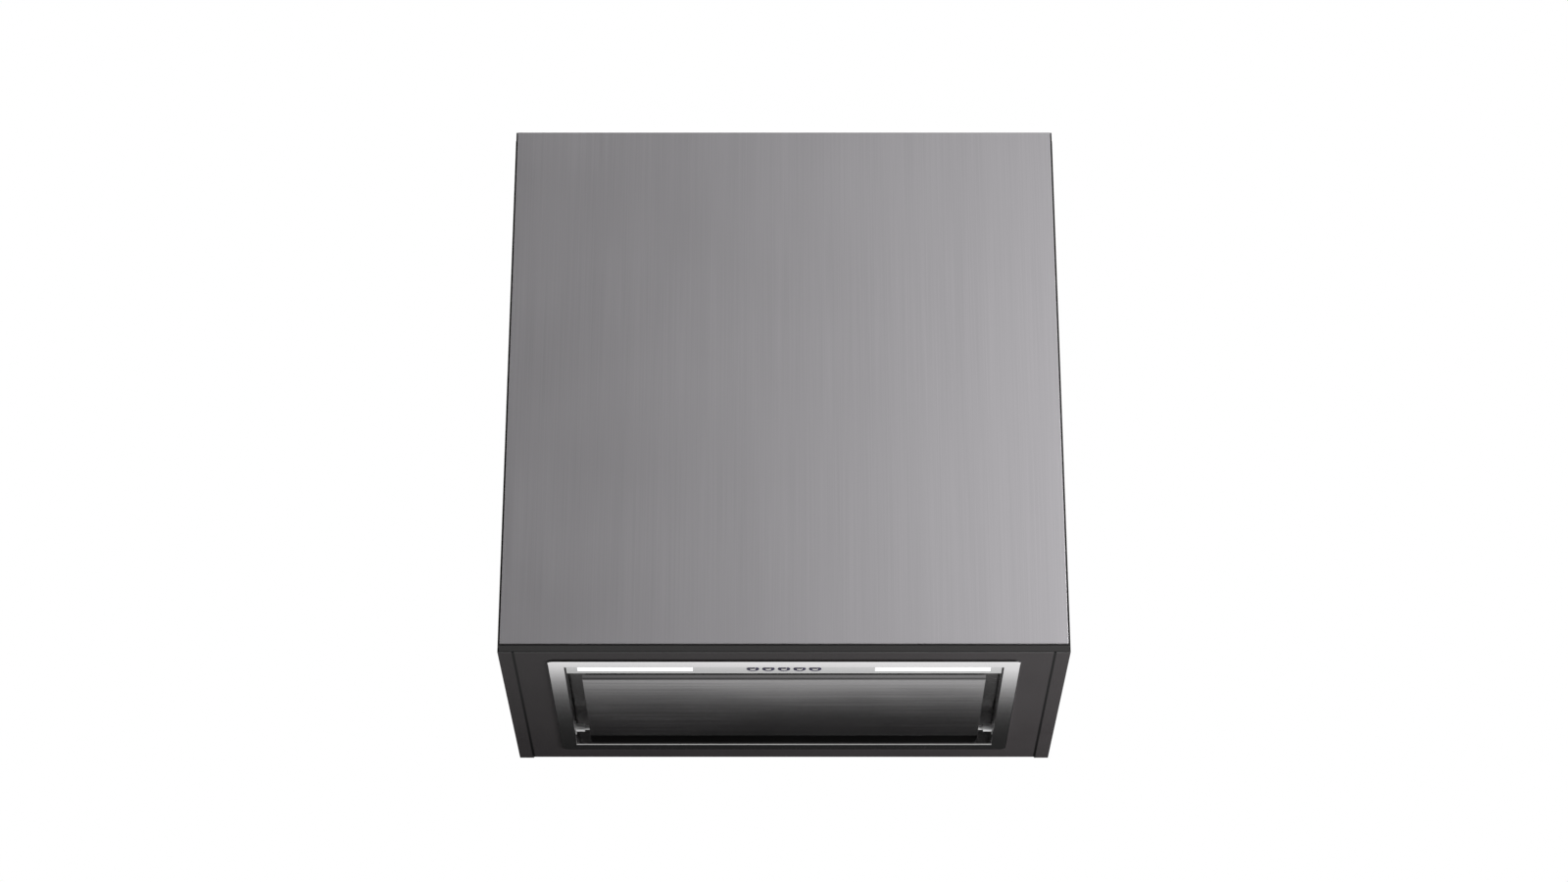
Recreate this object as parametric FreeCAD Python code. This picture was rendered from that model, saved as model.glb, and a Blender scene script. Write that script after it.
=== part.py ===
import FreeCAD
import Part
import math
import os

# A built-in range hood insert in the wall unit that houses it, in millimetres.
# X runs to the right, Y towards the wall and Z up. The origin is the middle of the underside,
# on the lower face of the trim flange.

# Housing boards
HOUSING_WIDTH = 600.0
HOUSING_HEIGHT = 610.0
CARCASS_DEPTH = 340.0
BOARD = 16.0
BOARD_STOPS_SHORT = 3.0
BACK_BOARD = 5.0
RAIL_THICKNESS = 12.0
RAIL_HEIGHT = 70.0
WALL_SCREW_SPACING = 464.0
WALL_SCREW_HOLE_RADIUS = 4.0

# Door and its pivot hinges
DOOR_BOARD = 17.0
DOOR_SKIN = 1.0
DOOR_SKIN_ROUND = 0.5
DOOR_GAP = 2.0
DOOR_REVEAL = 2.0
SKIN_REVEAL = 1.8
HINGE_FROM_END = 90.0
HINGE_HEIGHT = 40.0
HINGE_LEAF = 1.6
HINGE_LEAF_DEPTH = 40.0
HINGE_PIN_RADIUS = 1.5
HINGE_PIN_GRIP = 12.0
HINGE_BARREL_CLEARANCE = 0.8
HINGE_LEG_OVERLAP = 0.2
CORNER_CLEARANCE = 0.25
NOTCH_CLEARANCE = 0.6
BUFFER_RADIUS = 4.0
BUFFER_FROM_EDGE = 14.0

# Trim frame, tray and casing
INSERT_WIDTH = 500.0
INSERT_SETBACK = 24.0
INSERT_REAR_MARGIN = 34.0
FLANGE = 2.0
FLANGE_WIDTH = 18.0
FLANGE_CORNER = 7.0
FLANGE_EDGE_ROUND = 1.2
FOLD_ROUND = 1.2
SHEET = 1.0
WALL_TOP = 26.0
LEDGE = 7.0
CUTOUT_CLEARANCE = 2.0
TRAY_Z = 20.0
TRAY_GAP = 1.5
TRAY_SHELF = 17.5
TRAY_CORNER = 15.0
CASING_HEIGHT = 262.0
SEAL_THICKNESS = 2.0
SEAL_HEIGHT = 13.0
SEAL_END_MARGIN = 15.0

# Fixing brackets and screws
BRACKET = 2.0
BRACKET_LENGTH = 60.0
BRACKET_RISE = 40.0
SCREW_RADIUS = 1.75
SCREW_HEAD_RADIUS = 3.5
SCREW_HEAD = 2.0
SCREW_LENGTH = 12.0

# Control bar, lights and buttons
BAR_RECESS = 2.0
BAR_DEPTH = 22.0
BAR_END_GAP = 1.2
BAR_FOLD_TOP = 24.0
LIGHT_LENGTH = 122.0
LIGHT_WIDTH = 12.0
LIGHT_LINE = 8.6
LIGHT_END_MARGIN = 12.0
LENS_RIM = 1.4
LENS_RIM_HEIGHT = 4.0
LENS_POCKET = 3.0
CIRCUIT_BOARD = 1.6
LIGHT_CHIPS = 12
CHIP = 3.0
CHIP_HEIGHT = 0.8
BUTTON_COUNT = 5
BUTTON_PITCH = 16.5
BUTTON_RADIUS = 6.0
BUTTON_LINE = 8.4
BUTTON_PROUD = 0.5
BUTTON_TRAVEL = 1.2
BUTTON_RIM = 0.4
BUTTON_RIM_HEIGHT = 1.5
BUTTON_STEM_RADIUS = 2.0
BUTTON_CLEARANCE = 0.15
BEZEL = 0.7
GUIDE_HEIGHT = 11.0
SWITCH = 6.0
SWITCH_HEIGHT = 3.5
SWITCH_CLEARANCE = 0.1

# Suction panel, its hinge and catches
PANEL_Z = 0.3
PANEL_SIDE_GAP = 16.5
PANEL_FRONT_GAP = 17.0
PANEL_REAR_GAP = 29.0
PANEL_LIP = 3.0
PANEL_EDGE_ROUND = 0.5
PANEL_HEM_RISE = 5.2
PANEL_HEM_REACH = 2.9
PANEL_BACK_INSET = 2.0
PANEL_BACK_HEIGHT = 11.0
PANEL_AXIS_FROM_REAR = 8.0
PANEL_PIN_RADIUS = 2.5
PANEL_PIN_HEAD_RADIUS = 4.0
PANEL_PIN_HEAD = 3.0
RUNNING_CLEARANCE = 0.05
KNUCKLE_LENGTH = 9.5
KNUCKLE_RADIUS = 4.5
HINGE_PLATE_DEPTH = 20.0
CATCH_FROM_SIDE = 64.65
CATCH_WIDTH = 24.0
CATCH_DEPTH = 13.0
KEEPER = 1.5
MAGNET_GAP = 0.3
MAGNET = 1.9
CATCH_ARM = 1.5

# Grease filters and their latches
FILTER_HEIGHT = 9.0
FILTER_BORDER = 10.0
FILTER_REST = 12.0
FILTER_GAP = 1.0
MESH_INSET = 1.0
LATCH_WIDTH = 24.0
LATCH = 1.8
LATCH_FLOOR = 1.1
LATCH_REACH = 5.0
LATCH_TRAVEL = 6.0
LATCH_CLEARANCE = 0.2
LATCH_KNOB_WIDTH = 12.0
LATCH_KNOB = 2.0
LATCH_KNOB_DROP = 5.0
LATCH_KNOB_SETBACK = 1.0

# Blower
FAN_RADIUS = 62.0
FAN_WIDTH = 100.0
FAN_BLADES = 30
FAN_BLADE = 1.2
FAN_BLADE_CHORD = 11.0
FAN_BLADE_TILT = 30.0
FAN_RING = 2.0
FAN_HUB_RADIUS = 11.0
FAN_HUB_LENGTH = 24.0
FAN_ABOVE_CASING_FLOOR = 137.0
SCROLL_CLEARANCE = 10.0
SCROLL_GROWTH = 8.0
SCROLL_WALL = 2.0
SCROLL_REAR_CLEARANCE = 7.0
SCROLL_SIDE_CLEARANCE = 5.0
SCROLL_TONGUE = 16.0
INLET_RADIUS = 50.0
SHAFT_RADIUS = 4.0
MOTOR_RADIUS = 40.0
MOTOR_WALL = 3.0
MOTOR_SHIELD = 22.0
STATOR_LENGTH = 36.0
STATOR_BORE_RADIUS = 26.0
ROTOR_AIR_GAP = 0.5
ROTOR_SHORTER = 4.0
BEARING_RADIUS = 11.0
BEARING_WIDTH = 7.0
BEARING_LIP = 1.0
BEARING_BOSS_WALL = 3.0
MOTOR_ARM_WIDTH = 12.0
MOTOR_ARM = 3.0
RUBBER_RADIUS = 5.0
RUBBER_HEIGHT = 2.0
MOTOR_IN_INLET = 5.0

# Outlet, damper and duct
DUCT_RADIUS = 75.0
DUCT_WALL = 0.6
DUCT_SLIP = 0.4
DUCT_ABOVE_TOP = 44.0
DUCT_BEAD = 3.0
DUCT_BEAD_RISE = 1.5
DUCT_HOLE_CLEARANCE = 2.0
DUCT_SEAL_WIDTH = 9.0
DUCT_SEAL = 3.0
COLLAR_WALL = 2.0
COLLAR_HEIGHT = 44.0
COLLAR_FLANGE = 2.0
COLLAR_FLANGE_MARGIN = 10.0
DAMPER_HEIGHT = 16.0
DAMPER_SPINDLE_RADIUS = 2.0
DAMPER_SLEEVE_WALL = 1.2
DAMPER_SLEEVE_LENGTH = 58.0
DAMPER_SLEEVE_GAP = 2.0
DAMPER_FLAP = 1.2
DAMPER_EDGE_CLEARANCE = 1.8
DAMPER_ROOT_CLEARANCE = 0.4
DAMPER_STOP = 6.0

# Electrics on the casing lid
POWER_BOX_WIDTH = 112.0
POWER_BOX_DEPTH = 120.0
POWER_BOX_HEIGHT = 40.0
POWER_BOX_WALL = 2.0
POWER_BOX_GAP = 14.0
GLAND_THREAD_RADIUS = 7.0
GLAND_NUT_RADIUS = 11.0
GLAND_NUT = 6.0
GLAND_DOME_RADIUS = 9.0
GLAND_DOME = 14.0
GLAND_BORE_RADIUS = 4.0

# Places that follow from the sizes
HALF_WIDTH = HOUSING_WIDTH / 2
INNER_X = HALF_WIDTH - BOARD
DEPTH = CARCASS_DEPTH + DOOR_GAP + DOOR_BOARD + DOOR_SKIN
WALL_Y = DEPTH / 2
CARCASS_Y = WALL_Y - CARCASS_DEPTH
UNDER_Z = FLANGE
BASE_TOP_Z = UNDER_Z + BOARD
ROOF_Z = UNDER_Z + HOUSING_HEIGHT
CEILING_Z = ROOF_Z - BOARD
BACK_Y = WALL_Y - RAIL_THICKNESS - BACK_BOARD
RAIL_SCREW_Z = CEILING_Z - RAIL_HEIGHT / 2
DOOR_X = HALF_WIDTH - DOOR_REVEAL
DOOR_BACK_Y = CARCASS_Y - DOOR_GAP
DOOR_FACE_Y = DOOR_BACK_Y - DOOR_BOARD
HINGE_INSET = (DOOR_GAP - CORNER_CLEARANCE) / (math.sqrt(2) - 1)
HINGE_X = -DOOR_X + HINGE_INSET
HINGE_Y = DOOR_BACK_Y - HINGE_INSET
HINGE_BARREL_RADIUS = HINGE_INSET - HINGE_BARREL_CLEARANCE
HINGE_HEIGHTS = (UNDER_Z + HINGE_FROM_END, ROOF_Z - HINGE_FROM_END)

FLANGE_X = INSERT_WIDTH / 2
FLANGE_FRONT = CARCASS_Y + INSERT_SETBACK
FLANGE_REAR = WALL_Y - INSERT_REAR_MARGIN
OPENING = (-FLANGE_X + FLANGE_WIDTH, FLANGE_X - FLANGE_WIDTH,
           FLANGE_FRONT + FLANGE_WIDTH, FLANGE_REAR - FLANGE_WIDTH)
OPEN_X, OPEN_FRONT, OPEN_REAR = OPENING[1], OPENING[2], OPENING[3]
CUTOUT_MARGIN = SHEET + LEDGE + CUTOUT_CLEARANCE
BAR_REAR = OPEN_FRONT + BAR_DEPTH
BAR_TOP = BAR_RECESS + SHEET
BAR_X = OPEN_X - BAR_END_GAP
PAN = (-OPEN_X + TRAY_GAP, OPEN_X - TRAY_GAP, BAR_REAR + TRAY_GAP, OPEN_REAR - TRAY_GAP)
TRAY_TOP = TRAY_Z + SHEET
CASING_Z = WALL_TOP + SHEET
CASING_TOP = CASING_Z + SHEET + CASING_HEIGHT
LID_TOP = CASING_TOP + SHEET
CASING_MIDDLE_Y = (OPEN_FRONT + OPEN_REAR) / 2

PANEL = (-OPEN_X + PANEL_SIDE_GAP, OPEN_X - PANEL_SIDE_GAP,
         BAR_REAR + PANEL_FRONT_GAP, OPEN_REAR - PANEL_REAR_GAP)
PANEL_AXIS_Y = PANEL[3] - PANEL_AXIS_FROM_REAR
PANEL_BACK_Z = PANEL_Z + SHEET
PANEL_TOP = PANEL_BACK_Z + PANEL_BACK_HEIGHT
PANEL_AXIS_Z = PANEL_BACK_Z + PANEL_BACK_HEIGHT / 2

SCROLL_START = FAN_RADIUS + SCROLL_CLEARANCE
SCROLL_REAR_REACH = SCROLL_START + SCROLL_GROWTH + SCROLL_WALL
FAN_Y = OPEN_REAR + SHEET - SCROLL_REAR_CLEARANCE - SCROLL_REAR_REACH
FAN_Z = CASING_Z + SHEET + FAN_ABOVE_CASING_FLOOR
SCROLL_HALF = FAN_WIDTH / 2 + SCROLL_SIDE_CLEARANCE
SCROLL_SIDE = SCROLL_HALF + SCROLL_WALL
CHANNEL_FRONT = FAN_Y - SCROLL_START - 3 * SCROLL_GROWTH
CHANNEL_REAR = FAN_Y - SCROLL_TONGUE
DUCT_Y = (CHANNEL_FRONT + CHANNEL_REAR) / 2
COLLAR_RADIUS = DUCT_RADIUS - DUCT_WALL - DUCT_SLIP
DAMPER_Z = LID_TOP + DAMPER_HEIGHT
DAMPER_SLEEVE_RADIUS = DAMPER_SPINDLE_RADIUS + RUNNING_CLEARANCE + DAMPER_SLEEVE_WALL
MOTOR_X = SCROLL_SIDE - MOTOR_IN_INLET
STATOR_X = MOTOR_X + MOTOR_SHIELD
MOTOR_END_X = STATOR_X + STATOR_LENGTH + MOTOR_SHIELD

ALONG_X = FreeCAD.Vector(1, 0, 0)
ALONG_Y = FreeCAD.Vector(0, 1, 0)
ALONG_Z = FreeCAD.Vector(0, 0, 1)


def block(x0, x1, y0, y1, z0, z1):
    return Part.makeBox(x1 - x0, y1 - y0, z1 - z0, FreeCAD.Vector(x0, y0, z0))


def plate(area, z0, z1):
    return block(area[0], area[1], area[2], area[3], z0, z1)


def grown(area, by):
    return (area[0] - by, area[1] + by, area[2] - by, area[3] + by)


def ring(area, wall, z0, z1):
    return plate(grown(area, wall), z0, z1).cut(plate(area, z0, z1))


def rod(x, y, z, axis, radius, length):
    return Part.makeCylinder(radius, length, FreeCAD.Vector(x, y, z), axis)


def tube(x, y, z, axis, outer, inner, length):
    return rod(x, y, z, axis, outer, length).cut(rod(x, y, z, axis, inner, length))


def rounded_plate(area, z0, z1, radius):
    solid = plate(area, z0, z1)
    uprights = [edge for edge in solid.Edges if abs(edge.tangentAt(edge.FirstParameter).z) > 0.9]
    return solid.makeFillet(radius, uprights)


def mirrored(solid):
    return solid.mirror(FreeCAD.Vector(0, 0, 0), ALONG_X)


def joined(first, *others):
    return first.multiFuse(list(others)).removeSplitter()


def save(name, *solids):
    shape = solids[0] if len(solids) == 1 else Part.makeCompound(list(solids))
    shape.exportStep("parts/" + name + ".step")


def wall_screw_holes():
    across = WALL_SCREW_SPACING / 2
    start = BACK_Y - 1
    length = BACK_BOARD + RAIL_THICKNESS + 2
    return [rod(x, start, RAIL_SCREW_Z, ALONG_Y, WALL_SCREW_HOLE_RADIUS, length)
            for x in (-across, across)]


def fixing_foot():
    """Where the brackets' feet stand on the base board: inner edge, outer edge and screw line in X."""
    inner = OPEN_X + CUTOUT_MARGIN + CUTOUT_CLEARANCE
    outer = INNER_X - CUTOUT_CLEARANCE / 2
    return inner, outer, (inner + BRACKET + outer) / 2


def fixing_screw_places():
    screw_x = fixing_foot()[2]
    reach = BRACKET_LENGTH / 4
    return [(x, CASING_MIDDLE_Y + y) for x in (-screw_x, screw_x) for y in (-reach, reach)]


def hinge_screw_places():
    screw_y = CARCASS_Y + HINGE_LEAF_DEPTH * 0.6
    reach = HINGE_HEIGHT / 4
    return [(screw_y, z + step) for z in HINGE_HEIGHTS for step in (-reach, reach)]


def screw(x, y, z, axis):
    """A screw whose head starts at the point and whose shank runs on along the axis."""
    head = rod(x, y, z, axis, SCREW_HEAD_RADIUS, SCREW_HEAD)
    return joined(head, rod(x, y, z, axis, SCREW_RADIUS, SCREW_HEAD + SCREW_LENGTH))


def housing():
    left = block(-HALF_WIDTH, -INNER_X, CARCASS_Y, WALL_Y, UNDER_Z, ROOF_Z)
    right = mirrored(left)
    for y, z in hinge_screw_places():
        left = left.cut(rod(-INNER_X, y, z, -ALONG_X, SCREW_RADIUS, SCREW_LENGTH - HINGE_LEAF))
    save("side_panel_left", left)
    save("side_panel_right", right)

    board = (-INNER_X, INNER_X, CARCASS_Y, WALL_Y - BOARD_STOPS_SHORT)
    base = plate(board, UNDER_Z, BASE_TOP_Z)
    base = base.cut(plate(grown(OPENING, CUTOUT_MARGIN), UNDER_Z, BASE_TOP_Z))
    for x, y in fixing_screw_places():
        base = base.cut(rod(x, y, BASE_TOP_Z, -ALONG_Z, SCREW_RADIUS, SCREW_LENGTH - BRACKET))
    save("base_panel", base)

    duct_hole = rod(0, DUCT_Y, CEILING_Z, ALONG_Z, DUCT_RADIUS + DUCT_HOLE_CLEARANCE, BOARD)
    save("top_panel", plate(board, CEILING_Z, ROOF_Z).cut(duct_hole))

    back = block(-INNER_X, INNER_X, BACK_Y, BACK_Y + BACK_BOARD, BASE_TOP_Z, CEILING_Z)
    rail = block(-INNER_X, INNER_X, BACK_Y + BACK_BOARD, WALL_Y, CEILING_Z - RAIL_HEIGHT, CEILING_Z)
    for hole in wall_screw_holes():
        back = back.cut(hole)
        rail = rail.cut(hole)
    save("back_panel", back)
    save("hanging_rail", rail)


def door():
    board = block(-DOOR_X, DOOR_X, DOOR_FACE_Y, DOOR_BACK_Y, UNDER_Z, ROOF_Z)
    half = HINGE_HEIGHT / 2 + NOTCH_CLEARANCE
    notch_x = -INNER_X + HINGE_LEAF + DOOR_GAP
    notch_y = HINGE_Y - HINGE_BARREL_RADIUS - NOTCH_CLEARANCE
    pins = []
    for z in HINGE_HEIGHTS:
        board = board.cut(block(-DOOR_X, notch_x, notch_y, DOOR_BACK_Y, z - half, z + half))
        pin_length = 2 * (half + HINGE_PIN_GRIP)
        pin = rod(HINGE_X, HINGE_Y, z - pin_length / 2, ALONG_Z, HINGE_PIN_RADIUS, pin_length)
        board = board.cut(pin)
        pins.append(pin)
    save("door_board", board)
    save("door_hinge_pins", *pins)

    skin_x = DOOR_X - SKIN_REVEAL
    skin = block(-skin_x, skin_x, DOOR_FACE_Y - DOOR_SKIN, DOOR_FACE_Y, UNDER_Z + SKIN_REVEAL, ROOF_Z)
    front_edges = [edge for edge in skin.Edges if edge.BoundBox.YMax < DOOR_FACE_Y - DOOR_SKIN / 2]
    save("door_skin", skin.makeFillet(DOOR_SKIN_ROUND, front_edges))

    buffer_x = DOOR_X - BUFFER_FROM_EDGE / 2
    buffer_height = DOOR_GAP - CORNER_CLEARANCE
    save("door_buffers", *[rod(buffer_x, DOOR_BACK_Y, z, ALONG_Y, BUFFER_RADIUS, buffer_height)
                           for z in (UNDER_Z + BUFFER_FROM_EDGE, ROOF_Z - BUFFER_FROM_EDGE)])


def door_hinge_arms():
    leg_y = HINGE_Y + HINGE_BARREL_RADIUS - HINGE_LEG_OVERLAP
    arms = []
    for z in HINGE_HEIGHTS:
        low, high = z - HINGE_HEIGHT / 2, z + HINGE_HEIGHT / 2
        barrel = rod(HINGE_X, HINGE_Y, low, ALONG_Z, HINGE_BARREL_RADIUS, HINGE_HEIGHT)
        leg = block(HINGE_X, -INNER_X + HINGE_LEAF, leg_y, leg_y + HINGE_LEAF, low, high)
        leaf = block(-INNER_X, -INNER_X + HINGE_LEAF, leg_y, CARCASS_Y + HINGE_LEAF_DEPTH, low, high)
        bore = rod(HINGE_X, HINGE_Y, low, ALONG_Z, HINGE_PIN_RADIUS + RUNNING_CLEARANCE, HINGE_HEIGHT)
        arm = joined(barrel, leg, leaf).cut(bore)
        for y, screw_z in hinge_screw_places():
            arm = arm.cut(rod(-INNER_X, y, screw_z, ALONG_X, SCREW_RADIUS, HINGE_LEAF))
        arms.append(arm)
    save("door_hinge_arms", *arms)
    head_x = -INNER_X + HINGE_LEAF + SCREW_HEAD
    save("door_hinge_screws", *[screw(head_x, y, z, -ALONG_X) for y, z in hinge_screw_places()])


def trim_frame():
    area = (-FLANGE_X, FLANGE_X, FLANGE_FRONT, FLANGE_REAR)
    flange = rounded_plate(area, 0, FLANGE, FLANGE_CORNER)
    lower_edges = [edge for edge in flange.Edges if edge.BoundBox.ZMax < FLANGE / 2]
    flange = flange.makeFillet(min(FLANGE_EDGE_ROUND, FLANGE * 0.6), lower_edges)
    flange = flange.cut(plate(OPENING, 0, FLANGE))
    walls = ring(OPENING, SHEET, 0, WALL_TOP)
    ledge = ring(grown(OPENING, SHEET), LEDGE, WALL_TOP - SHEET, WALL_TOP)
    frame = joined(flange, walls, ledge)
    within = grown(OPENING, SHEET / 2)
    folds = [edge for edge in frame.Edges if edge.BoundBox.ZMax < SHEET / 2
             and edge.BoundBox.XMin > within[0] and edge.BoundBox.XMax < within[1]
             and edge.BoundBox.YMin > within[2] and edge.BoundBox.YMax < within[3]]
    return frame.makeFillet(FOLD_ROUND, folds)


def filter_opening():
    return grown(PAN, -TRAY_SHELF)


def filter_tray():
    inside = grown(PAN, -SHEET)
    rim = plate(grown(OPENING, SHEET + LEDGE), WALL_TOP, CASING_Z).cut(plate(inside, WALL_TOP, CASING_Z))
    fold = ring(inside, SHEET, TRAY_Z, CASING_Z)
    floor = plate(PAN, TRAY_Z, TRAY_TOP)
    floor = floor.cut(rounded_plate(filter_opening(), TRAY_Z, TRAY_TOP, TRAY_CORNER))
    return joined(rim, fold, floor)


def casing():
    inside = grown(OPENING, SHEET)
    foot = ring(inside, LEDGE, CASING_Z, CASING_Z + SHEET)
    return joined(foot, ring(inside, SHEET, CASING_Z, CASING_TOP))


def casing_lid():
    lid = plate(grown(OPENING, 2 * SHEET), CASING_TOP, LID_TOP)
    outlet = block(-SCROLL_HALF, SCROLL_HALF, CHANNEL_FRONT, CHANNEL_REAR, CASING_TOP, LID_TOP)
    return lid.cut(outlet)


def rear_seal():
    """A foam strip with round ends on the frame's rear wall."""
    reach = OPEN_X - SEAL_END_MARGIN - SEAL_HEIGHT / 2
    low = FLANGE
    middle = low + SEAL_HEIGHT / 2
    start = OPEN_REAR - SEAL_THICKNESS
    strip = block(-reach, reach, start, OPEN_REAR, low, low + SEAL_HEIGHT)
    ends = [rod(x, start, middle, ALONG_Y, SEAL_HEIGHT / 2, SEAL_THICKNESS) for x in (-reach, reach)]
    return joined(strip, *ends)


def fixings():
    inner, outer, screw_x = fixing_foot()
    wall_x = OPEN_X + 2 * SHEET
    step_z = CASING_Z + SHEET + BRACKET
    start, end = CASING_MIDDLE_Y - BRACKET_LENGTH / 2, CASING_MIDDLE_Y + BRACKET_LENGTH / 2
    bracket = joined(
        block(wall_x, wall_x + BRACKET, start, end, step_z, step_z + BRACKET_RISE),
        block(wall_x, inner + BRACKET, start, end, step_z, step_z + BRACKET),
        block(inner, inner + BRACKET, start, end, BASE_TOP_Z, step_z + BRACKET),
        block(inner, outer, start, end, BASE_TOP_Z, BASE_TOP_Z + BRACKET))
    brackets = [bracket, mirrored(bracket)]
    screws = []
    for x, y in fixing_screw_places():
        hole = rod(x, y, BASE_TOP_Z, ALONG_Z, SCREW_RADIUS, BRACKET)
        brackets = [each.cut(hole) for each in brackets]
        screws.append(screw(x, y, BASE_TOP_Z + BRACKET + SCREW_HEAD, -ALONG_Z))
    save("fixing_brackets", *brackets)
    save("fixing_screws", *screws)


def button_places():
    middle = (BUTTON_COUNT - 1) / 2
    return [(index - middle) * BUTTON_PITCH for index in range(BUTTON_COUNT)]


def light_window(grow, z0, z1):
    outer = BAR_X - LIGHT_END_MARGIN
    line = OPEN_FRONT + LIGHT_LINE
    area = (outer - LIGHT_LENGTH, outer, line - LIGHT_WIDTH / 2, line + LIGHT_WIDTH / 2)
    return plate(grown(area, grow), z0, z1)


def control_bar():
    floor = block(-BAR_X, BAR_X, OPEN_FRONT, BAR_REAR, BAR_RECESS, BAR_TOP)
    front = block(-BAR_X, BAR_X, OPEN_FRONT, OPEN_FRONT + SHEET, BAR_RECESS, BAR_FOLD_TOP)
    rear = block(-BAR_X, BAR_X, BAR_REAR - SHEET, BAR_REAR, BAR_RECESS, BAR_FOLD_TOP)
    bar = joined(floor, front, rear)
    window = light_window(0, BAR_RECESS, BAR_TOP)
    bar = bar.cut(window).cut(mirrored(window))
    for x in button_places():
        bar = bar.cut(rod(x, OPEN_FRONT + BUTTON_LINE, BAR_RECESS, ALONG_Z, BUTTON_RADIUS + BEZEL, SHEET))
    return bar


def lights():
    rim_top = BAR_TOP + LENS_RIM_HEIGHT
    lens = joined(light_window(0, BAR_RECESS, BAR_TOP), light_window(LENS_RIM, BAR_TOP, rim_top))
    lens = lens.cut(light_window(-LENS_RIM, rim_top - LENS_POCKET, rim_top))
    save("light_lenses", lens, mirrored(lens))

    board = light_window(LENS_RIM, rim_top, rim_top + CIRCUIT_BOARD)
    run = LIGHT_LENGTH - 4 * LENS_RIM - CHIP
    start = BAR_X - LIGHT_END_MARGIN - LIGHT_LENGTH + 2 * LENS_RIM
    line = OPEN_FRONT + LIGHT_LINE
    chips = []
    for index in range(LIGHT_CHIPS):
        x = start + run * index / (LIGHT_CHIPS - 1)
        chips.append(block(x, x + CHIP, line - CHIP / 2, line + CHIP / 2, rim_top - CHIP_HEIGHT, rim_top))
    board = joined(board, *chips)
    save("light_boards", board, mirrored(board))


def controls():
    line = OPEN_FRONT + BUTTON_LINE
    rim_radius = BUTTON_RADIUS + BUTTON_RIM
    bore_radius = rim_radius + BUTTON_CLEARANCE
    half = button_places()[-1] + bore_radius + SWITCH
    guide_top = BAR_TOP + GUIDE_HEIGHT
    guide_area = (-half, half, OPEN_FRONT + SHEET, line + bore_radius + SHEET)
    guide = plate(guide_area, BAR_TOP, guide_top)
    board = plate(guide_area, guide_top, guide_top + CIRCUIT_BOARD)
    rim_z = BAR_TOP + BUTTON_CLEARANCE
    stem_top = guide_top - SWITCH_HEIGHT - BUTTON_TRAVEL - SWITCH_CLEARANCE
    bezels = []
    switches = []
    for number, x in enumerate(button_places(), start=1):
        guide = guide.cut(rod(x, line, BAR_TOP, ALONG_Z, bore_radius, GUIDE_HEIGHT))
        switches.append(block(x - SWITCH / 2, x + SWITCH / 2, line - SWITCH / 2, line + SWITCH / 2,
                              guide_top - SWITCH_HEIGHT, guide_top))
        bezels.append(tube(x, line, BAR_RECESS, ALONG_Z, BUTTON_RADIUS + BEZEL,
                           BUTTON_RADIUS + BUTTON_CLEARANCE, SHEET))
        cap_z = BAR_RECESS - BUTTON_PROUD
        save("button_%d" % number, joined(
            rod(x, line, cap_z, ALONG_Z, BUTTON_RADIUS, rim_z - cap_z),
            rod(x, line, rim_z, ALONG_Z, rim_radius, BUTTON_RIM_HEIGHT),
            rod(x, line, rim_z, ALONG_Z, BUTTON_STEM_RADIUS, stem_top - rim_z)))
    save("button_guide", guide)
    save("control_board", joined(board, *switches))
    save("button_bezels", *bezels)


def panel_hem():
    """The raked fold along the panel's front edge."""
    front, rear = PANEL[2], PANEL[2] + SHEET
    top = PANEL_Z + PANEL_HEM_RISE
    corners = [(front, PANEL_Z), (front - PANEL_HEM_REACH, top),
               (rear - PANEL_HEM_REACH, top), (rear, PANEL_Z)]
    outline = [FreeCAD.Vector(PANEL[0], y, z) for y, z in corners + corners[:1]]
    return Part.Face(Part.makePolygon(outline)).extrude(ALONG_X * (PANEL[1] - PANEL[0]))


def suction_panel():
    face = plate(PANEL, PANEL_Z, PANEL_BACK_Z)
    lip = ring(grown(PANEL, -SHEET), SHEET, PANEL_Z, PANEL_Z + PANEL_LIP)
    skin = joined(face, lip, panel_hem())
    lower_edges = [edge for edge in skin.Edges if edge.BoundBox.ZMax < PANEL_Z + SHEET / 4]
    save("panel_skin", skin.makeFillet(PANEL_EDGE_ROUND, lower_edges))

    outside = grown(PANEL, -PANEL_BACK_INSET)
    inside = grown(outside, -SHEET)
    back = plate(outside, PANEL_BACK_Z, PANEL_TOP).cut(plate(inside, PANEL_BACK_Z, PANEL_TOP - SHEET))
    pin_end = OPEN_X - SHEET
    pin = joined(rod(inside[1] - PANEL_PIN_HEAD, PANEL_AXIS_Y, PANEL_AXIS_Z, ALONG_X,
                     PANEL_PIN_HEAD_RADIUS, PANEL_PIN_HEAD),
                 rod(inside[1], PANEL_AXIS_Y, PANEL_AXIS_Z, ALONG_X,
                     PANEL_PIN_RADIUS, pin_end - inside[1]))
    pins = [pin, mirrored(pin)]
    for each in pins:
        back = back.cut(each)
    save("panel_back", back)
    save("panel_hinge_pins", *pins)

    keeper = plate(catch_area(), PANEL_TOP, PANEL_TOP + KEEPER)
    save("panel_keepers", keeper, mirrored(keeper))


def catch_area():
    middle = PANEL[1] - CATCH_FROM_SIDE
    front = PANEL[2] + PANEL_BACK_INSET
    return (middle - CATCH_WIDTH / 2, middle + CATCH_WIDTH / 2, front, front + CATCH_DEPTH)


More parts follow.
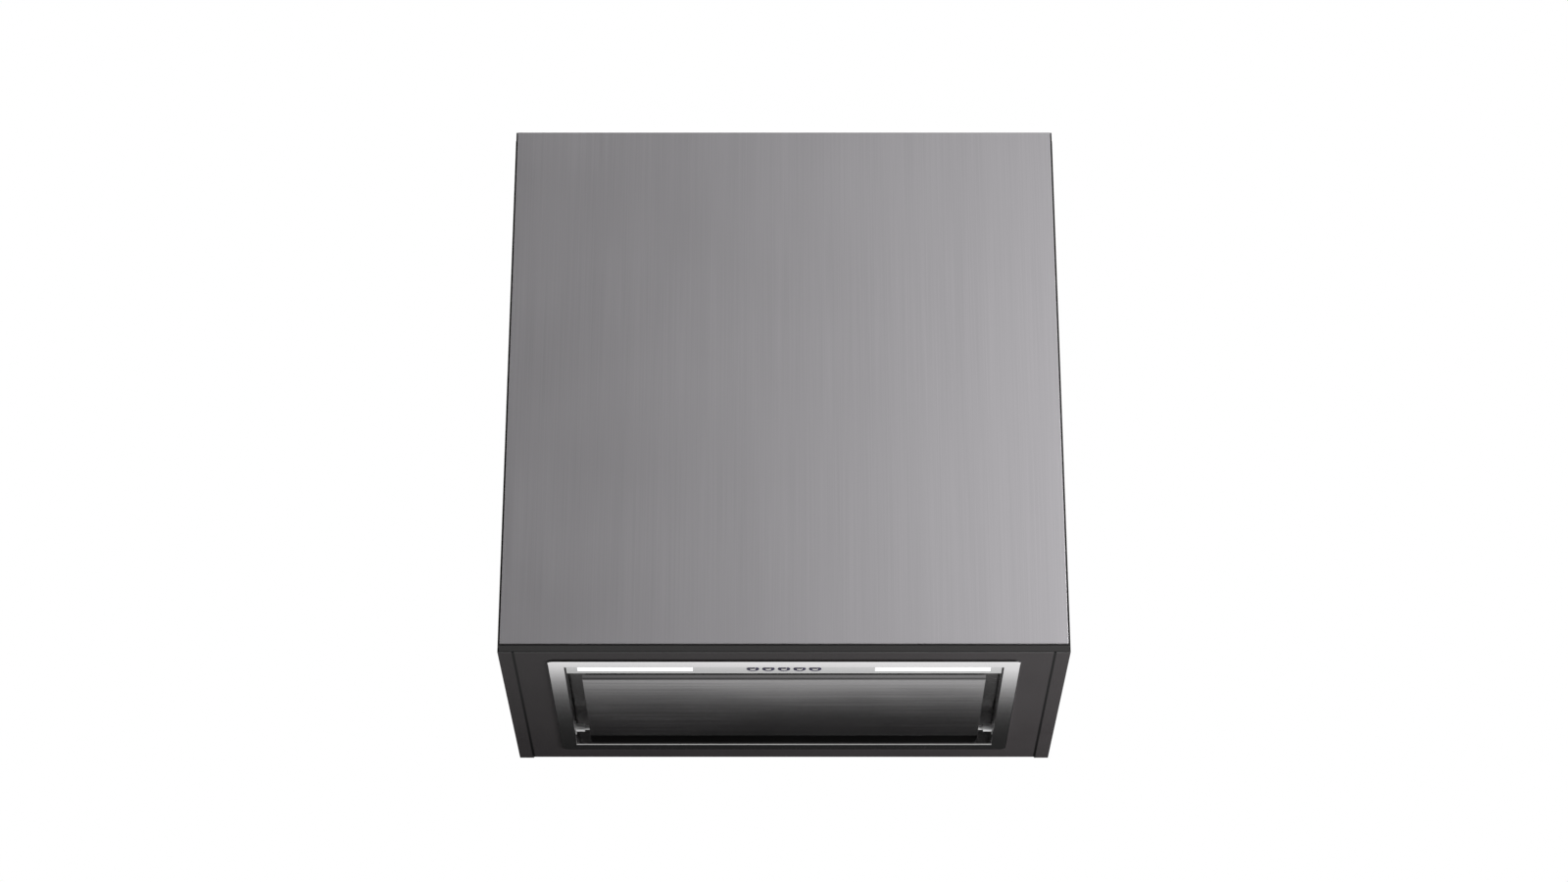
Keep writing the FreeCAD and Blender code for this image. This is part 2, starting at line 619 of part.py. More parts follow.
def panel_supports():
    plate_x = OPEN_X - SHEET
    mount = block(plate_x, OPEN_X,
                  PANEL_AXIS_Y - HINGE_PLATE_DEPTH / 2, PANEL_AXIS_Y + HINGE_PLATE_DEPTH / 2,
                  PANEL_AXIS_Z - KNUCKLE_RADIUS, PANEL_AXIS_Z + KNUCKLE_RADIUS)
    knuckle_x = plate_x - KNUCKLE_LENGTH
    knuckle = tube(knuckle_x, PANEL_AXIS_Y, PANEL_AXIS_Z, ALONG_X,
                   KNUCKLE_RADIUS, PANEL_PIN_RADIUS + RUNNING_CLEARANCE, KNUCKLE_LENGTH)
    bracket = joined(mount, knuckle)
    save("panel_hinge_brackets", bracket, mirrored(bracket))

    area = catch_area()
    magnet_z = PANEL_TOP + KEEPER + MAGNET_GAP
    arm_z = magnet_z + MAGNET
    catch = joined(plate(area, magnet_z, arm_z),
                   block(area[0], area[1], BAR_REAR, area[3], arm_z, arm_z + CATCH_ARM))
    save("panel_catches", catch, mirrored(catch))


def filters():
    opening = filter_opening()
    front = opening[2] + FILTER_GAP
    area = (FILTER_GAP / 2, opening[1] - FILTER_GAP, front, opening[3] + FILTER_REST)
    inside = grown(area, -FILTER_BORDER)
    top = TRAY_TOP + FILTER_HEIGHT
    border = plate(area, TRAY_TOP, top).cut(plate(inside, TRAY_TOP, top))
    mesh = plate(inside, TRAY_TOP + MESH_INSET, top - MESH_INSET)

    middle = (area[0] + area[1]) / 2
    half = LATCH_WIDTH / 2
    knob_half = LATCH_KNOB_WIDTH / 2
    tongue_z = TRAY_TOP + LATCH_FLOOR + LATCH_CLEARANCE
    tongue_top = tongue_z + LATCH
    rear = front + LATCH_KNOB + LATCH_CLEARANCE + LATCH_KNOB_SETBACK
    stop = rear + LATCH_TRAVEL + LATCH_CLEARANCE
    slot = block(middle - half - LATCH_CLEARANCE, middle + half + LATCH_CLEARANCE, front, stop,
                 tongue_z - LATCH_CLEARANCE, tongue_top + LATCH_CLEARANCE)
    knob_slot = block(middle - knob_half - LATCH_CLEARANCE, middle + knob_half + LATCH_CLEARANCE,
                      front, stop, TRAY_TOP, tongue_z)
    border = border.cut(slot).cut(knob_slot)
    save("filter_frames", border, mirrored(border))
    save("filter_meshes", mesh, mirrored(mesh))

    tip = opening[2] - LATCH_REACH
    latch = joined(
        block(middle - half, middle + half, tip, rear, tongue_z, tongue_top),
        block(middle - knob_half, middle + knob_half, tip, opening[2] - LATCH_CLEARANCE,
              TRAY_TOP + LATCH_CLEARANCE, tongue_top),
        block(middle - knob_half, middle + knob_half, rear - LATCH_KNOB, rear,
              TRAY_Z - LATCH_KNOB_DROP, tongue_top))
    save("filter_latch_right", latch)
    save("filter_latch_left", mirrored(latch))


def scroll_prism(grow, half, top):
    """The scroll's side view, with its walls moved out by grow, drawn from the middle to both sides."""
    def around(angle):
        turn = math.radians(angle)
        radius = SCROLL_START + SCROLL_GROWTH * (90 - angle) / 90 + grow
        return FreeCAD.Vector(-half, FAN_Y + radius * math.cos(turn), FAN_Z + radius * math.sin(turn))

    arcs = [Part.Arc(around(start), around(start - 45), around(start - 90)).toShape()
            for start in (90, 0, -90)]
    corners = [around(-180), FreeCAD.Vector(-half, CHANNEL_FRONT - grow, top),
               FreeCAD.Vector(-half, CHANNEL_REAR + grow, top),
               FreeCAD.Vector(-half, CHANNEL_REAR + grow, around(90).z), around(90)]
    lines = [Part.makeLine(first, second) for first, second in zip(corners, corners[1:])]
    return Part.Face(Part.Wire(arcs + lines)).extrude(ALONG_X * (2 * half))


def scroll_halves():
    shell = scroll_prism(SCROLL_WALL, SCROLL_SIDE, CASING_TOP)
    shell = shell.cut(scroll_prism(0, SCROLL_HALF, CASING_TOP + SCROLL_WALL))
    shell = shell.cut(rod(-SCROLL_SIDE, FAN_Y, FAN_Z, ALONG_X, INLET_RADIUS, 2 * SCROLL_SIDE))
    reach = 4 * SCROLL_START
    right_side = block(0, SCROLL_SIDE, FAN_Y - reach, FAN_Y + reach, FAN_Z - reach, FAN_Z + reach)
    save("scroll_right", shell.common(right_side))
    save("scroll_left", shell.common(mirrored(right_side)))


def impeller():
    half = FAN_WIDTH / 2
    disc = rod(-FAN_RING, FAN_Y, FAN_Z, ALONG_X, FAN_RADIUS, 2 * FAN_RING)
    hub = rod(-FAN_HUB_LENGTH / 2, FAN_Y, FAN_Z, ALONG_X, FAN_HUB_RADIUS, FAN_HUB_LENGTH)
    pieces = [hub]
    for x in (-half, half - FAN_RING):
        pieces.append(tube(x, FAN_Y, FAN_Z, ALONG_X, FAN_RADIUS, FAN_RADIUS - FAN_BLADE_CHORD, FAN_RING))
    mean_radius = FAN_RADIUS - FAN_BLADE_CHORD / 2
    centre = FreeCAD.Vector(0, FAN_Y, FAN_Z)
    for index in range(FAN_BLADES):
        blade = block(-half, half, -FAN_BLADE_CHORD / 2, FAN_BLADE_CHORD / 2, -FAN_BLADE / 2, FAN_BLADE / 2)
        blade.rotate(FreeCAD.Vector(0, 0, 0), ALONG_X, FAN_BLADE_TILT)
        blade.translate(centre + ALONG_Y * mean_radius)
        blade.rotate(centre, ALONG_X, 360 * index / FAN_BLADES)
        pieces.append(blade)
    wheel = joined(disc, *pieces)
    return wheel.cut(rod(-half, FAN_Y, FAN_Z, ALONG_X, SHAFT_RADIUS, FAN_WIDTH))


def motor_shield(x, outward):
    """A motor end cup: its open rim at x, its closed end with the bearing seat outward."""
    axis = ALONG_X * outward
    closed = MOTOR_SHIELD - MOTOR_WALL
    boss_start = MOTOR_SHIELD - BEARING_WIDTH - BEARING_LIP
    cup = rod(x, FAN_Y, FAN_Z, axis, MOTOR_RADIUS, MOTOR_SHIELD)
    cup = cup.cut(rod(x, FAN_Y, FAN_Z, axis, MOTOR_RADIUS - MOTOR_WALL, closed))
    boss = rod(x + outward * boss_start, FAN_Y, FAN_Z, axis,
               BEARING_RADIUS + BEARING_BOSS_WALL, MOTOR_SHIELD - boss_start)
    seat = rod(x + outward * boss_start, FAN_Y, FAN_Z, axis, BEARING_RADIUS, BEARING_WIDTH)
    lip = rod(x, FAN_Y, FAN_Z, axis, SHAFT_RADIUS + BEARING_LIP, MOTOR_SHIELD)
    return joined(cup, boss).cut(seat).cut(lip)


def motor():
    stator_end = STATOR_X + STATOR_LENGTH
    save("motor_shield_front", motor_shield(STATOR_X, -1))
    save("motor_shield_rear", motor_shield(stator_end, 1))
    save("motor_stator", tube(STATOR_X, FAN_Y, FAN_Z, ALONG_X,
                              MOTOR_RADIUS, STATOR_BORE_RADIUS, STATOR_LENGTH))
    rotor_x = STATOR_X + ROTOR_SHORTER / 2
    save("motor_rotor", tube(rotor_x, FAN_Y, FAN_Z, ALONG_X, STATOR_BORE_RADIUS - ROTOR_AIR_GAP,
                             SHAFT_RADIUS, STATOR_LENGTH - ROTOR_SHORTER))
    bearing_bore = SHAFT_RADIUS + RUNNING_CLEARANCE
    save("motor_bearings", *[tube(x, FAN_Y, FAN_Z, ALONG_X, BEARING_RADIUS, bearing_bore, BEARING_WIDTH)
                             for x in (MOTOR_X + BEARING_LIP, MOTOR_END_X - BEARING_LIP - BEARING_WIDTH)])
    shaft_start = -FAN_HUB_LENGTH / 2
    save("motor_shaft", rod(shaft_start, FAN_Y, FAN_Z, ALONG_X, SHAFT_RADIUS, MOTOR_END_X - shaft_start))

    arm_x = SCROLL_SIDE + RUBBER_HEIGHT
    mount_radius = INLET_RADIUS + 2 * RUBBER_RADIUS
    arm_end = mount_radius + RUBBER_RADIUS
    hoop = rod(arm_x, FAN_Y, FAN_Z, ALONG_X, MOTOR_RADIUS + MOTOR_ARM, MOTOR_ARM)
    arms = []
    rubbers = []
    centre = FreeCAD.Vector(0, FAN_Y, FAN_Z)
    for angle in (90, 210, 330):
        arm = block(arm_x, arm_x + MOTOR_ARM, FAN_Y, FAN_Y + arm_end,
                    FAN_Z - MOTOR_ARM_WIDTH / 2, FAN_Z + MOTOR_ARM_WIDTH / 2)
        arm.rotate(centre, ALONG_X, angle)
        arms.append(arm)
        rubber = rod(SCROLL_SIDE, FAN_Y + mount_radius, FAN_Z, ALONG_X, RUBBER_RADIUS, RUBBER_HEIGHT)
        rubber.rotate(centre, ALONG_X, angle)
        rubbers.append(rubber)
    bracket = joined(hoop, *arms).cut(rod(arm_x, FAN_Y, FAN_Z, ALONG_X, MOTOR_RADIUS, MOTOR_ARM))
    save("motor_bracket", bracket)
    save("motor_rubbers", *rubbers)


def outlet():
    inner = COLLAR_RADIUS - COLLAR_WALL
    reach = COLLAR_RADIUS + COLLAR_FLANGE_MARGIN
    flange = block(-reach, reach, DUCT_Y - reach, DUCT_Y + reach, LID_TOP, LID_TOP + COLLAR_FLANGE)
    collar = joined(flange, rod(0, DUCT_Y, LID_TOP, ALONG_Z, COLLAR_RADIUS, COLLAR_HEIGHT))
    collar = collar.cut(rod(0, DUCT_Y, LID_TOP, ALONG_Z, inner, COLLAR_HEIGHT))
    stop_top = DAMPER_Z - DAMPER_FLAP / 2 - LATCH_CLEARANCE
    stops = []
    for side in (-1, 1):
        edges = sorted((DUCT_Y + side * (inner - DAMPER_STOP), DUCT_Y + side * (inner + COLLAR_WALL / 2)))
        stops.append(block(-DAMPER_STOP, DAMPER_STOP, edges[0], edges[1],
                           stop_top - DAMPER_STOP / 2, stop_top))
    spindle_half = COLLAR_RADIUS - COLLAR_WALL / 4
    spindle = rod(-spindle_half, DUCT_Y, DAMPER_Z, ALONG_X, DAMPER_SPINDLE_RADIUS, 2 * spindle_half)
    save("outlet_collar", joined(collar, *stops).cut(spindle))
    save("damper_spindle", spindle)

    flap_radius = inner - DAMPER_EDGE_CLEARANCE
    root = DAMPER_SLEEVE_RADIUS + DAMPER_ROOT_CLEARANCE
    disc = rod(0, DUCT_Y, DAMPER_Z - DAMPER_FLAP / 2, ALONG_Z, flap_radius, DAMPER_FLAP)
    spindle_bore = rod(-inner, DUCT_Y, DAMPER_Z, ALONG_X,
                       DAMPER_SPINDLE_RADIUS + RUNNING_CLEARANCE, 2 * inner)
    for name, side in (("damper_flap_front", -1), ("damper_flap_rear", 1)):
        near, far = DUCT_Y + side * root, DUCT_Y + side * inner
        half_disc = disc.common(block(-inner, inner, min(near, far), max(near, far),
                                      DAMPER_Z - DAMPER_FLAP, DAMPER_Z + DAMPER_FLAP))
        sleeve_x = DAMPER_SLEEVE_GAP if side > 0 else -DAMPER_SLEEVE_GAP - DAMPER_SLEEVE_LENGTH
        sleeve = rod(sleeve_x, DUCT_Y, DAMPER_Z, ALONG_X, DAMPER_SLEEVE_RADIUS, DAMPER_SLEEVE_LENGTH)
        web = block(sleeve_x, sleeve_x + DAMPER_SLEEVE_LENGTH, min(near, DUCT_Y), max(near, DUCT_Y),
                    DAMPER_Z - DAMPER_FLAP / 2, DAMPER_Z + DAMPER_FLAP / 2)
        save(name, joined(half_disc, sleeve, web).cut(spindle_bore))

    duct_z = LID_TOP + COLLAR_FLANGE
    duct_top = ROOF_Z + DUCT_ABOVE_TOP
    bead_z = ROOF_Z + DUCT_SEAL + DUCT_BEAD
    duct = joined(rod(0, DUCT_Y, duct_z, ALONG_Z, DUCT_RADIUS, duct_top - duct_z),
                  rod(0, DUCT_Y, bead_z, ALONG_Z, DUCT_RADIUS + DUCT_BEAD_RISE, DUCT_BEAD))
    save("duct_pipe", duct.cut(rod(0, DUCT_Y, duct_z, ALONG_Z, DUCT_RADIUS - DUCT_WALL, duct_top - duct_z)))
    save("duct_seal", tube(0, DUCT_Y, ROOF_Z, ALONG_Z, DUCT_RADIUS + DUCT_SEAL_WIDTH,
                           DUCT_RADIUS + RUNNING_CLEARANCE, DUCT_SEAL))


def electrics():
    left = COLLAR_RADIUS + COLLAR_FLANGE_MARGIN + POWER_BOX_GAP
    middle = CASING_MIDDLE_Y + POWER_BOX_DEPTH / 4
    area = (left, left + POWER_BOX_WIDTH, middle - POWER_BOX_DEPTH / 2, middle + POWER_BOX_DEPTH / 2)
    top = LID_TOP + POWER_BOX_HEIGHT
    box = plate(area, LID_TOP, top)
    box = box.cut(plate(grown(area, -POWER_BOX_WALL), LID_TOP + POWER_BOX_WALL, top))
    gland_x = left + POWER_BOX_WIDTH / 2
    gland_z = LID_TOP + POWER_BOX_HEIGHT / 2
    inner_y = area[3] - POWER_BOX_WALL
    thread = rod(gland_x, inner_y, gland_z, ALONG_Y, GLAND_THREAD_RADIUS, POWER_BOX_WALL)
    nut = rod(gland_x, area[3], gland_z, ALONG_Y, GLAND_NUT_RADIUS, GLAND_NUT)
    dome = rod(gland_x, area[3] + GLAND_NUT, gland_z, ALONG_Y, GLAND_DOME_RADIUS, GLAND_DOME)
    gland_length = POWER_BOX_WALL + GLAND_NUT + GLAND_DOME
    bore = rod(gland_x, inner_y, gland_z, ALONG_Y, GLAND_BORE_RADIUS, gland_length)
    save("power_box", box.cut(thread))
    save("power_box_cover", plate(area, top, top + POWER_BOX_WALL))
    save("cable_gland", joined(thread, nut, dome).cut(bore))


os.makedirs("parts", exist_ok=True)
housing()
door()
door_hinge_arms()
save("trim_frame", trim_frame())
save("filter_tray", filter_tray())
save("casing", casing())
save("casing_lid", casing_lid())
save("rear_seal", rear_seal())
fixings()
save("control_bar", control_bar())
lights()
controls()
suction_panel()
panel_supports()
filters()
scroll_halves()
save("impeller", impeller())
motor()
outlet()
electrics()
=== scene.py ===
# %% [markdown]
# # A range hood insert in its wall unit
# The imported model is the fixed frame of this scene. It brings the boards, the sheet metal, the
# blower and the joints. The cells below give each of them its finish and add the small things
# that only the eye needs: expanded metal in the filters, screw heads, rivets and push buttons.

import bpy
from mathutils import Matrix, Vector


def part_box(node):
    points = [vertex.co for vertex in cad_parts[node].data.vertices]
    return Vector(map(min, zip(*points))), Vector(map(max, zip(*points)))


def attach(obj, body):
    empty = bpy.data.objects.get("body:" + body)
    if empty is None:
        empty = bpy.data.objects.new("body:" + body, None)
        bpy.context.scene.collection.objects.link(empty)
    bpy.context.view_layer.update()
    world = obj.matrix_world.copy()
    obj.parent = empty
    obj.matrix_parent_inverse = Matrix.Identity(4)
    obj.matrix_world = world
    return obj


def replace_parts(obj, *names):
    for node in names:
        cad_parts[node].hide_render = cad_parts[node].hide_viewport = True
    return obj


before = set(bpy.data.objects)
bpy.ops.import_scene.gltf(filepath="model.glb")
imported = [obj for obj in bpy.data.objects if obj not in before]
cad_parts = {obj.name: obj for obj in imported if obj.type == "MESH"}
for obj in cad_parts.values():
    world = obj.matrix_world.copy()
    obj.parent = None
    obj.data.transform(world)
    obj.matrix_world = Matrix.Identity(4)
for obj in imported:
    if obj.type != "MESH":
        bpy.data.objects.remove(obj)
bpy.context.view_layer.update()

# %% [markdown]
# ## Camera
# The picture was taken from below and in front, straight on. A long lens a few metres away keeps
# the upright edges nearly parallel. The camera is tilted up instead of shifted, because every
# other view of the part keeps the shift of this camera.

# %% Camera
import bmesh
import bpy
import math
from mathutils import Matrix, Vector

CAMERA_DISTANCE = 3.5
CAMERA_DROP = 1.257
CAMERA_TILT = 24.2
CAMERA_LENS = 78.2


def add_camera():
    lens = bpy.data.cameras.new("front_lens")
    lens.sensor_width = 36.0
    lens.lens = CAMERA_LENS
    camera = bpy.data.objects.new("front_camera", lens)
    camera.location = (0.0, -CAMERA_DISTANCE, -CAMERA_DROP)
    camera.rotation_euler = (math.radians(90.0 + CAMERA_TILT), 0.0, 0.0)
    bpy.context.scene.collection.objects.link(camera)
    bpy.context.scene.camera = camera


add_camera()
bpy.context.scene.view_settings.view_transform = "Standard"
print("camera", CAMERA_LENS, "mm lens, tilted up", CAMERA_TILT, "degrees")

# %% [markdown]
# ## Shader maths
# A finish is easier to read as a sum than as a drawing of nodes. The class wraps one socket, and
# an operator on it adds a Math node. One method adds any other node: its settings come first,
# because some of them change which sockets the node has, and then its values and links.

# %% Sockets that can be reckoned with


class Wire:
    def __init__(self, tree, socket=None):
        self.tree = tree
        self.socket = socket

    def node(self, kind, settings, sockets, output=0):
        made = self.tree.nodes.new(kind)
        for name, value in settings.items():
            setattr(made, name, value)
        for name, value in sockets.items():
            if isinstance(value, Wire):
                self.tree.links.new(value.socket, made.inputs[name])
            else:
                made.inputs[name].default_value = value
        return Wire(self.tree, made.outputs[output] if made.outputs else None)

    def math(self, operation, first, second=0.0):
        return self.node("ShaderNodeMath", {"operation": operation}, {0: first, 1: second})

    def __add__(self, other):
        return self.math("ADD", self, other)

    def __sub__(self, other):
        return self.math("SUBTRACT", self, other)

    def __rsub__(self, other):
        return self.math("SUBTRACT", other, self)

    def __mul__(self, other):
        return self.math("MULTIPLY", self, other)

    def __pow__(self, other):
        return self.math("POWER", self, other)

    def __abs__(self):
        return self.math("ABSOLUTE", self)

    __radd__ = __add__
    __rmul__ = __mul__

    def between(self, low, high):
        """0 at low, 1 at high, and clipped outside them."""
        return self.node("ShaderNodeMapRange", {"clamp": True},
                         {"Value": self, "From Min": low, "From Max": high})

    def mix(self, first, second):
        """The first colour where this value is 0 and the second where it is 1."""
        return self.node("ShaderNodeMix", {"data_type": "RGBA"}, {0: self, 6: first, 7: second}, 2)

    def place(self):
        """Where a point lies on the object at rest, in metres."""
        return self.node("ShaderNodeTexCoord", {}, {}, "Object")

    def axes(self, names):
        """The named coordinates of a place or a direction, one wire for each."""
        return [self.node("ShaderNodeSeparateXYZ", {}, {"Vector": self}, name) for name in names]


def new_material(name):
    """An empty node material and a wire to start from."""
    material = bpy.data.materials.new(name)
    material.use_nodes = True
    material.node_tree.nodes.clear()
    return material, Wire(material.node_tree)


def show(shader):
    """Joins a shader to the output of its material."""
    shader.node("ShaderNodeOutputMaterial", {}, {"Surface": shader})


def grey(value, red=0.0, blue=0.0):
    """A grey as a colour, with a little red or blue on top."""
    return (value + red, value, value + blue, 1.0)


print("shader maths ready, middle grey is", grey(0.18))

# %% [markdown]
# ## Studio
# The object hangs in a white studio. The world is white to the camera and to mirror-like rays,
# and weaker to diffuse rays, so metal shows the white room while colours keep their written
# level. One large soft lamp stands to the right, so the front fades towards the left, and a small
# one below it does the same for the underside. The camera sees what they light, not the lamps.

# %% World and lamps
AMBIENT = 0.26


def seen_directly(start):
    """1 for the rays that show the background itself: direct, mirrored and transmitted ones."""
    camera, mirrored, passed = [start.node("ShaderNodeLightPath", {}, {}, name) for name in
                                ("Is Camera Ray", "Is Glossy Ray", "Is Transmission Ray")]
    return (camera + mirrored + passed).between(0.0, 1.0)


def white_world():
    world = bpy.data.worlds.new("white_studio")
    world.use_nodes = True
    world.node_tree.nodes.clear()
    bpy.context.scene.world = world
    start = Wire(world.node_tree)
    strength = AMBIENT + (1.0 - AMBIENT) * seen_directly(start)
    light = start.node("ShaderNodeBackground", {}, {"Color": grey(1.0), "Strength": strength})
    start.node("ShaderNodeOutputWorld", {}, {"Surface": light})


def soft_lamp(name, place, aim, width, height, watts):
    lamp = bpy.data.lights.new(name, "AREA")
    lamp.shape = "RECTANGLE"
    lamp.size = width
    lamp.size_y = height
    lamp.energy = watts
    holder = bpy.data.objects.new(name, lamp)
    holder.location = place
    holder.rotation_euler = (Vector(aim) - Vector(place)).to_track_quat("-Z", "Y").to_euler()
    holder.visible_camera = False
    bpy.context.scene.collection.objects.link(holder)


white_world()
soft_lamp("key_lamp", (1.75, -1.15, 0.15), aim=(0.0, -0.18, 0.3),
          width=0.9, height=1.4, watts=40.0)
soft_lamp("front_lamp", (1.2, -3.2, 1.4), aim=(0.0, 0.0, 0.3),
          width=1.8, height=1.2, watts=7.0)
soft_lamp("low_lamp", (0.95, -0.05, -0.5), aim=(0.1, 0.0, 0.0),
          width=0.6, height=0.5, watts=12.5)
soft_lamp("rear_lamp", (-1.6, 2.4, 1.3), aim=(0.0, 0.0, 0.3),
          width=1.5, height=1.5, watts=60.0)
print("lamps", [lamp.name for lamp in bpy.data.lights])

# %% [markdown]
# ## Floor and reflection cards
# The unit hangs on a wall high above the floor. The floor is pale and keeps the soft shadow. Sheet
# steel that is seen from below mirrors what is behind and beneath it: near the wall that is the
# unit's own shade, further down the bright room. Photographers set cards for this. The five here
# are seen by mirror-like rays alone and from one side only: a stretch of shaded wall behind, a
# dark worktop with a pale upstand and a dark floor below, and a screen in front that is dim on
# the left. The upstand draws the bright line along the fold at the rear of the opening.

# %% Floor and cards
FLOOR_Z = -1.9
FLOOR_WIDTH = 40.0
FLOOR_GLOW = 0.85
WALL_CARD_Y = 0.30
WALL_CARD_TOP = 0.03
WALL_CARD_DROP = 1.0


def stage_sheet(name, width, height, place, material):
    """A flat sheet of the stage, which is not part of the object."""
    sheet = bmesh.new()
    bmesh.ops.create_grid(sheet, x_segments=1, y_segments=1, size=0.5)
    bmesh.ops.scale(sheet, vec=(width, height, 1.0), verts=sheet.verts)
    bmesh.ops.transform(sheet, matrix=place, verts=sheet.verts)
    mesh = bpy.data.meshes.new(name)
    sheet.to_mesh(mesh)
    sheet.free()
    mesh.materials.append(material)
    made = bpy.data.objects.new(name, mesh)
    bpy.context.scene.collection.objects.link(made)
    return made


def floor_finish():
    material, start = new_material("pale_floor")
    paint = start.node("ShaderNodeBsdfDiffuse", {}, {"Color": grey(0.80)})
    glow = start.node("ShaderNodeEmission", {}, {"Color": grey(1.0), "Strength": 1.0})
    share = seen_directly(start) * FLOOR_GLOW
    show(start.node("ShaderNodeMixShader", {}, {0: share, 1: paint, 2: glow}))
    return material


def card_finish(name, axis, dim, bright, low, high, power, lean=0.0):
    """Glows from low where an axis is dim to high where it is bright; lean adds to the right."""
    material, start = new_material(name)
    place = start.place()
    along, right = place.axes((axis, "X"))
    level = (low + (high - low) * along.between(dim, bright) ** power) * (1.0 + lean * right)
    glow = start.node("ShaderNodeEmission", {}, {"Color": level.mix(grey(0.0), grey(1.0))})
    clear = start.node("ShaderNodeBsdfTransparent", {}, {})
    behind = start.node("ShaderNodeNewGeometry", {}, {}, "Backfacing")
    show(start.node("ShaderNodeMixShader", {}, {0: behind, 1: glow, 2: clear}))
    return material


def card(name, width, height, place, material):
    """A sheet that is left visible to mirror-like rays alone."""
    made = stage_sheet(name, width, height, place, material)
    made.visible_camera = False
    made.visible_diffuse = False
    made.visible_transmission = False
    made.visible_shadow = False


stage_sheet("floor", FLOOR_WIDTH, FLOOR_WIDTH, Matrix.Translation((0.0, 0.0, FLOOR_Z)),
            floor_finish())
facing_front = Matrix.Rotation(math.radians(90.0), 4, "X")
facing_back = Matrix.Rotation(math.radians(-90.0), 4, "X")
card("wall_card", 3.0, WALL_CARD_DROP,
     Matrix.Translation((0.0, WALL_CARD_Y, WALL_CARD_TOP - WALL_CARD_DROP / 2)) @ facing_front,
     card_finish("wall_shade", "Z", dim=0.0, bright=-0.172, low=0.018, high=2.0, power=7.8,
                 lean=0.7))
card("worktop_card", 2.4, 1.25, Matrix.Translation((0.0, -0.325, -0.55)),
     card_finish("worktop_shade", "Y", dim=-0.45, bright=-0.85, low=0.03, high=0.30, power=1.0,
                 lean=1.2))
card("upstand_card", 1.6, 0.36, Matrix.Translation((0.0, 0.08, -0.53)),
     card_finish("upstand_glow", "Y", dim=-0.10, bright=-0.04, low=0.03, high=0.9, power=1.0,
                 lean=0.3))
card("floor_card", 2.4, 2.0, Matrix.Translation((0.0, -1.95, -0.55)),
     card_finish("floor_shade", "Y", dim=-2.95, bright=-0.95, low=0.02, high=0.03, power=1.0))
card("front_card", 7.0, 6.0, Matrix.Translation((0.0, -4.4, 2.0)) @ facing_back,
     card_finish("front_screen", "X", dim=-0.7, bright=1.4, low=0.0, high=1.0, power=1.2))

# %% [markdown]
# ## Brushed sheet
# Brushing leaves long straight scratches along one direction. A noise that is stretched along the
# grain gives them: a fine one for the scratches, a broad one for the bands that a belt leaves, and
# an even one for the faint smudges of handling. The door's sheet is brushed upwards and the
# stainless steel of the insert across. A dark, dull line of painted shade stands for the shadow gap
# at the front and the rear of the trim frame, and for the shade of the fine step along the hem of
# the panel. The steel of the filter tray is painted darker, as shade, since it sits in the channel.

# %% Brushed finishes
ACROSS, DEEP, UPRIGHT = 0, 1, 2
# Waves per metre along and across the grain, and the detail of the noise.
FINE_SCRATCHES = (4.0, 700.0, 3.0)
BELT_BANDS = (0.8, 60.0, 2.0)
# Waves per metre and detail.
SMUDGES = (6.0, 3.0)
# Painted shade: tint and dullness of the shade lines at the flange edges and along the hem step.
PAINTED_SHADE_TINT = grey(0.06)
PAINTED_SHADE_DULLNESS = 0.4
RIM_SHADE_WIDTH = 0.0004
FLANGE_CORNER = 0.007
HEM_DEPTH = 0.003
HEM_STEP = 0.0019
HEM_STEP_WIDTH = 0.0005


def grain(start, place, along, scratches_along, scratches_across, detail):
    """Noise that is stretched along one axis."""
    scale = [scratches_across] * 3
    scale[along] = scratches_along
    stretched = start.node("ShaderNodeMapping", {}, {"Vector": place, "Scale": scale})
    return start.node("ShaderNodeTexNoise", {}, {
        "Vector": stretched, "Scale": 1.0, "Detail": detail, "Roughness": 0.6})


def speckle(start, place, per_metre, detail):
    """Noise that is the same in every direction."""
    return start.node("ShaderNodeTexNoise", {}, {
        "Vector": place, "Scale": per_metre, "Detail": detail, "Roughness": 0.55})


def bump(start, height, millimetres):
    return start.node("ShaderNodeBump", {}, {
        "Strength": 1.0, "Distance": millimetres / 1000.0, "Height": height})


def flange_rim_shade(place):
    """Painted shade: 1 on the flange's front and rear edges with their round corners, 0 inside
    them.
    """
    low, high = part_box("trim_frame")
    middle, reach = (low + high) / 2.0, (high - low) / 2.0
    across, deep = place.axes("XY")
    past_x = place.math("MAXIMUM", abs(across - middle.x) - (reach.x - FLANGE_CORNER), 0.0)
    past_y = place.math("MAXIMUM", abs(deep - middle.y) - (reach.y - FLANGE_CORNER), 0.0)
    inset = place.math("SQRT", past_x * past_x + past_y * past_y) - FLANGE_CORNER
    facing = place.node("ShaderNodeTexCoord", {}, {}, "Normal")
    turned_away = abs(facing.axes("Y")[0])
    return inset.between(-RIM_SHADE_WIDTH, -0.8 * RIM_SHADE_WIDTH) * turned_away.between(0.2, 0.5)


def hem_step_shade(place):
    """Painted shade of a step: 1 on a line along the sloping hem at the front of the panel."""
    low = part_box("panel_skin")[0]
    deep, upright = place.axes("YZ")
    off_line = abs(upright - (low.z + HEM_STEP))
    on_hem = deep.between(low.y + 1.1 * HEM_DEPTH, low.y + HEM_DEPTH)
    return off_line.between(HEM_STEP_WIDTH, 0.5 * HEM_STEP_WIDTH) * on_hem


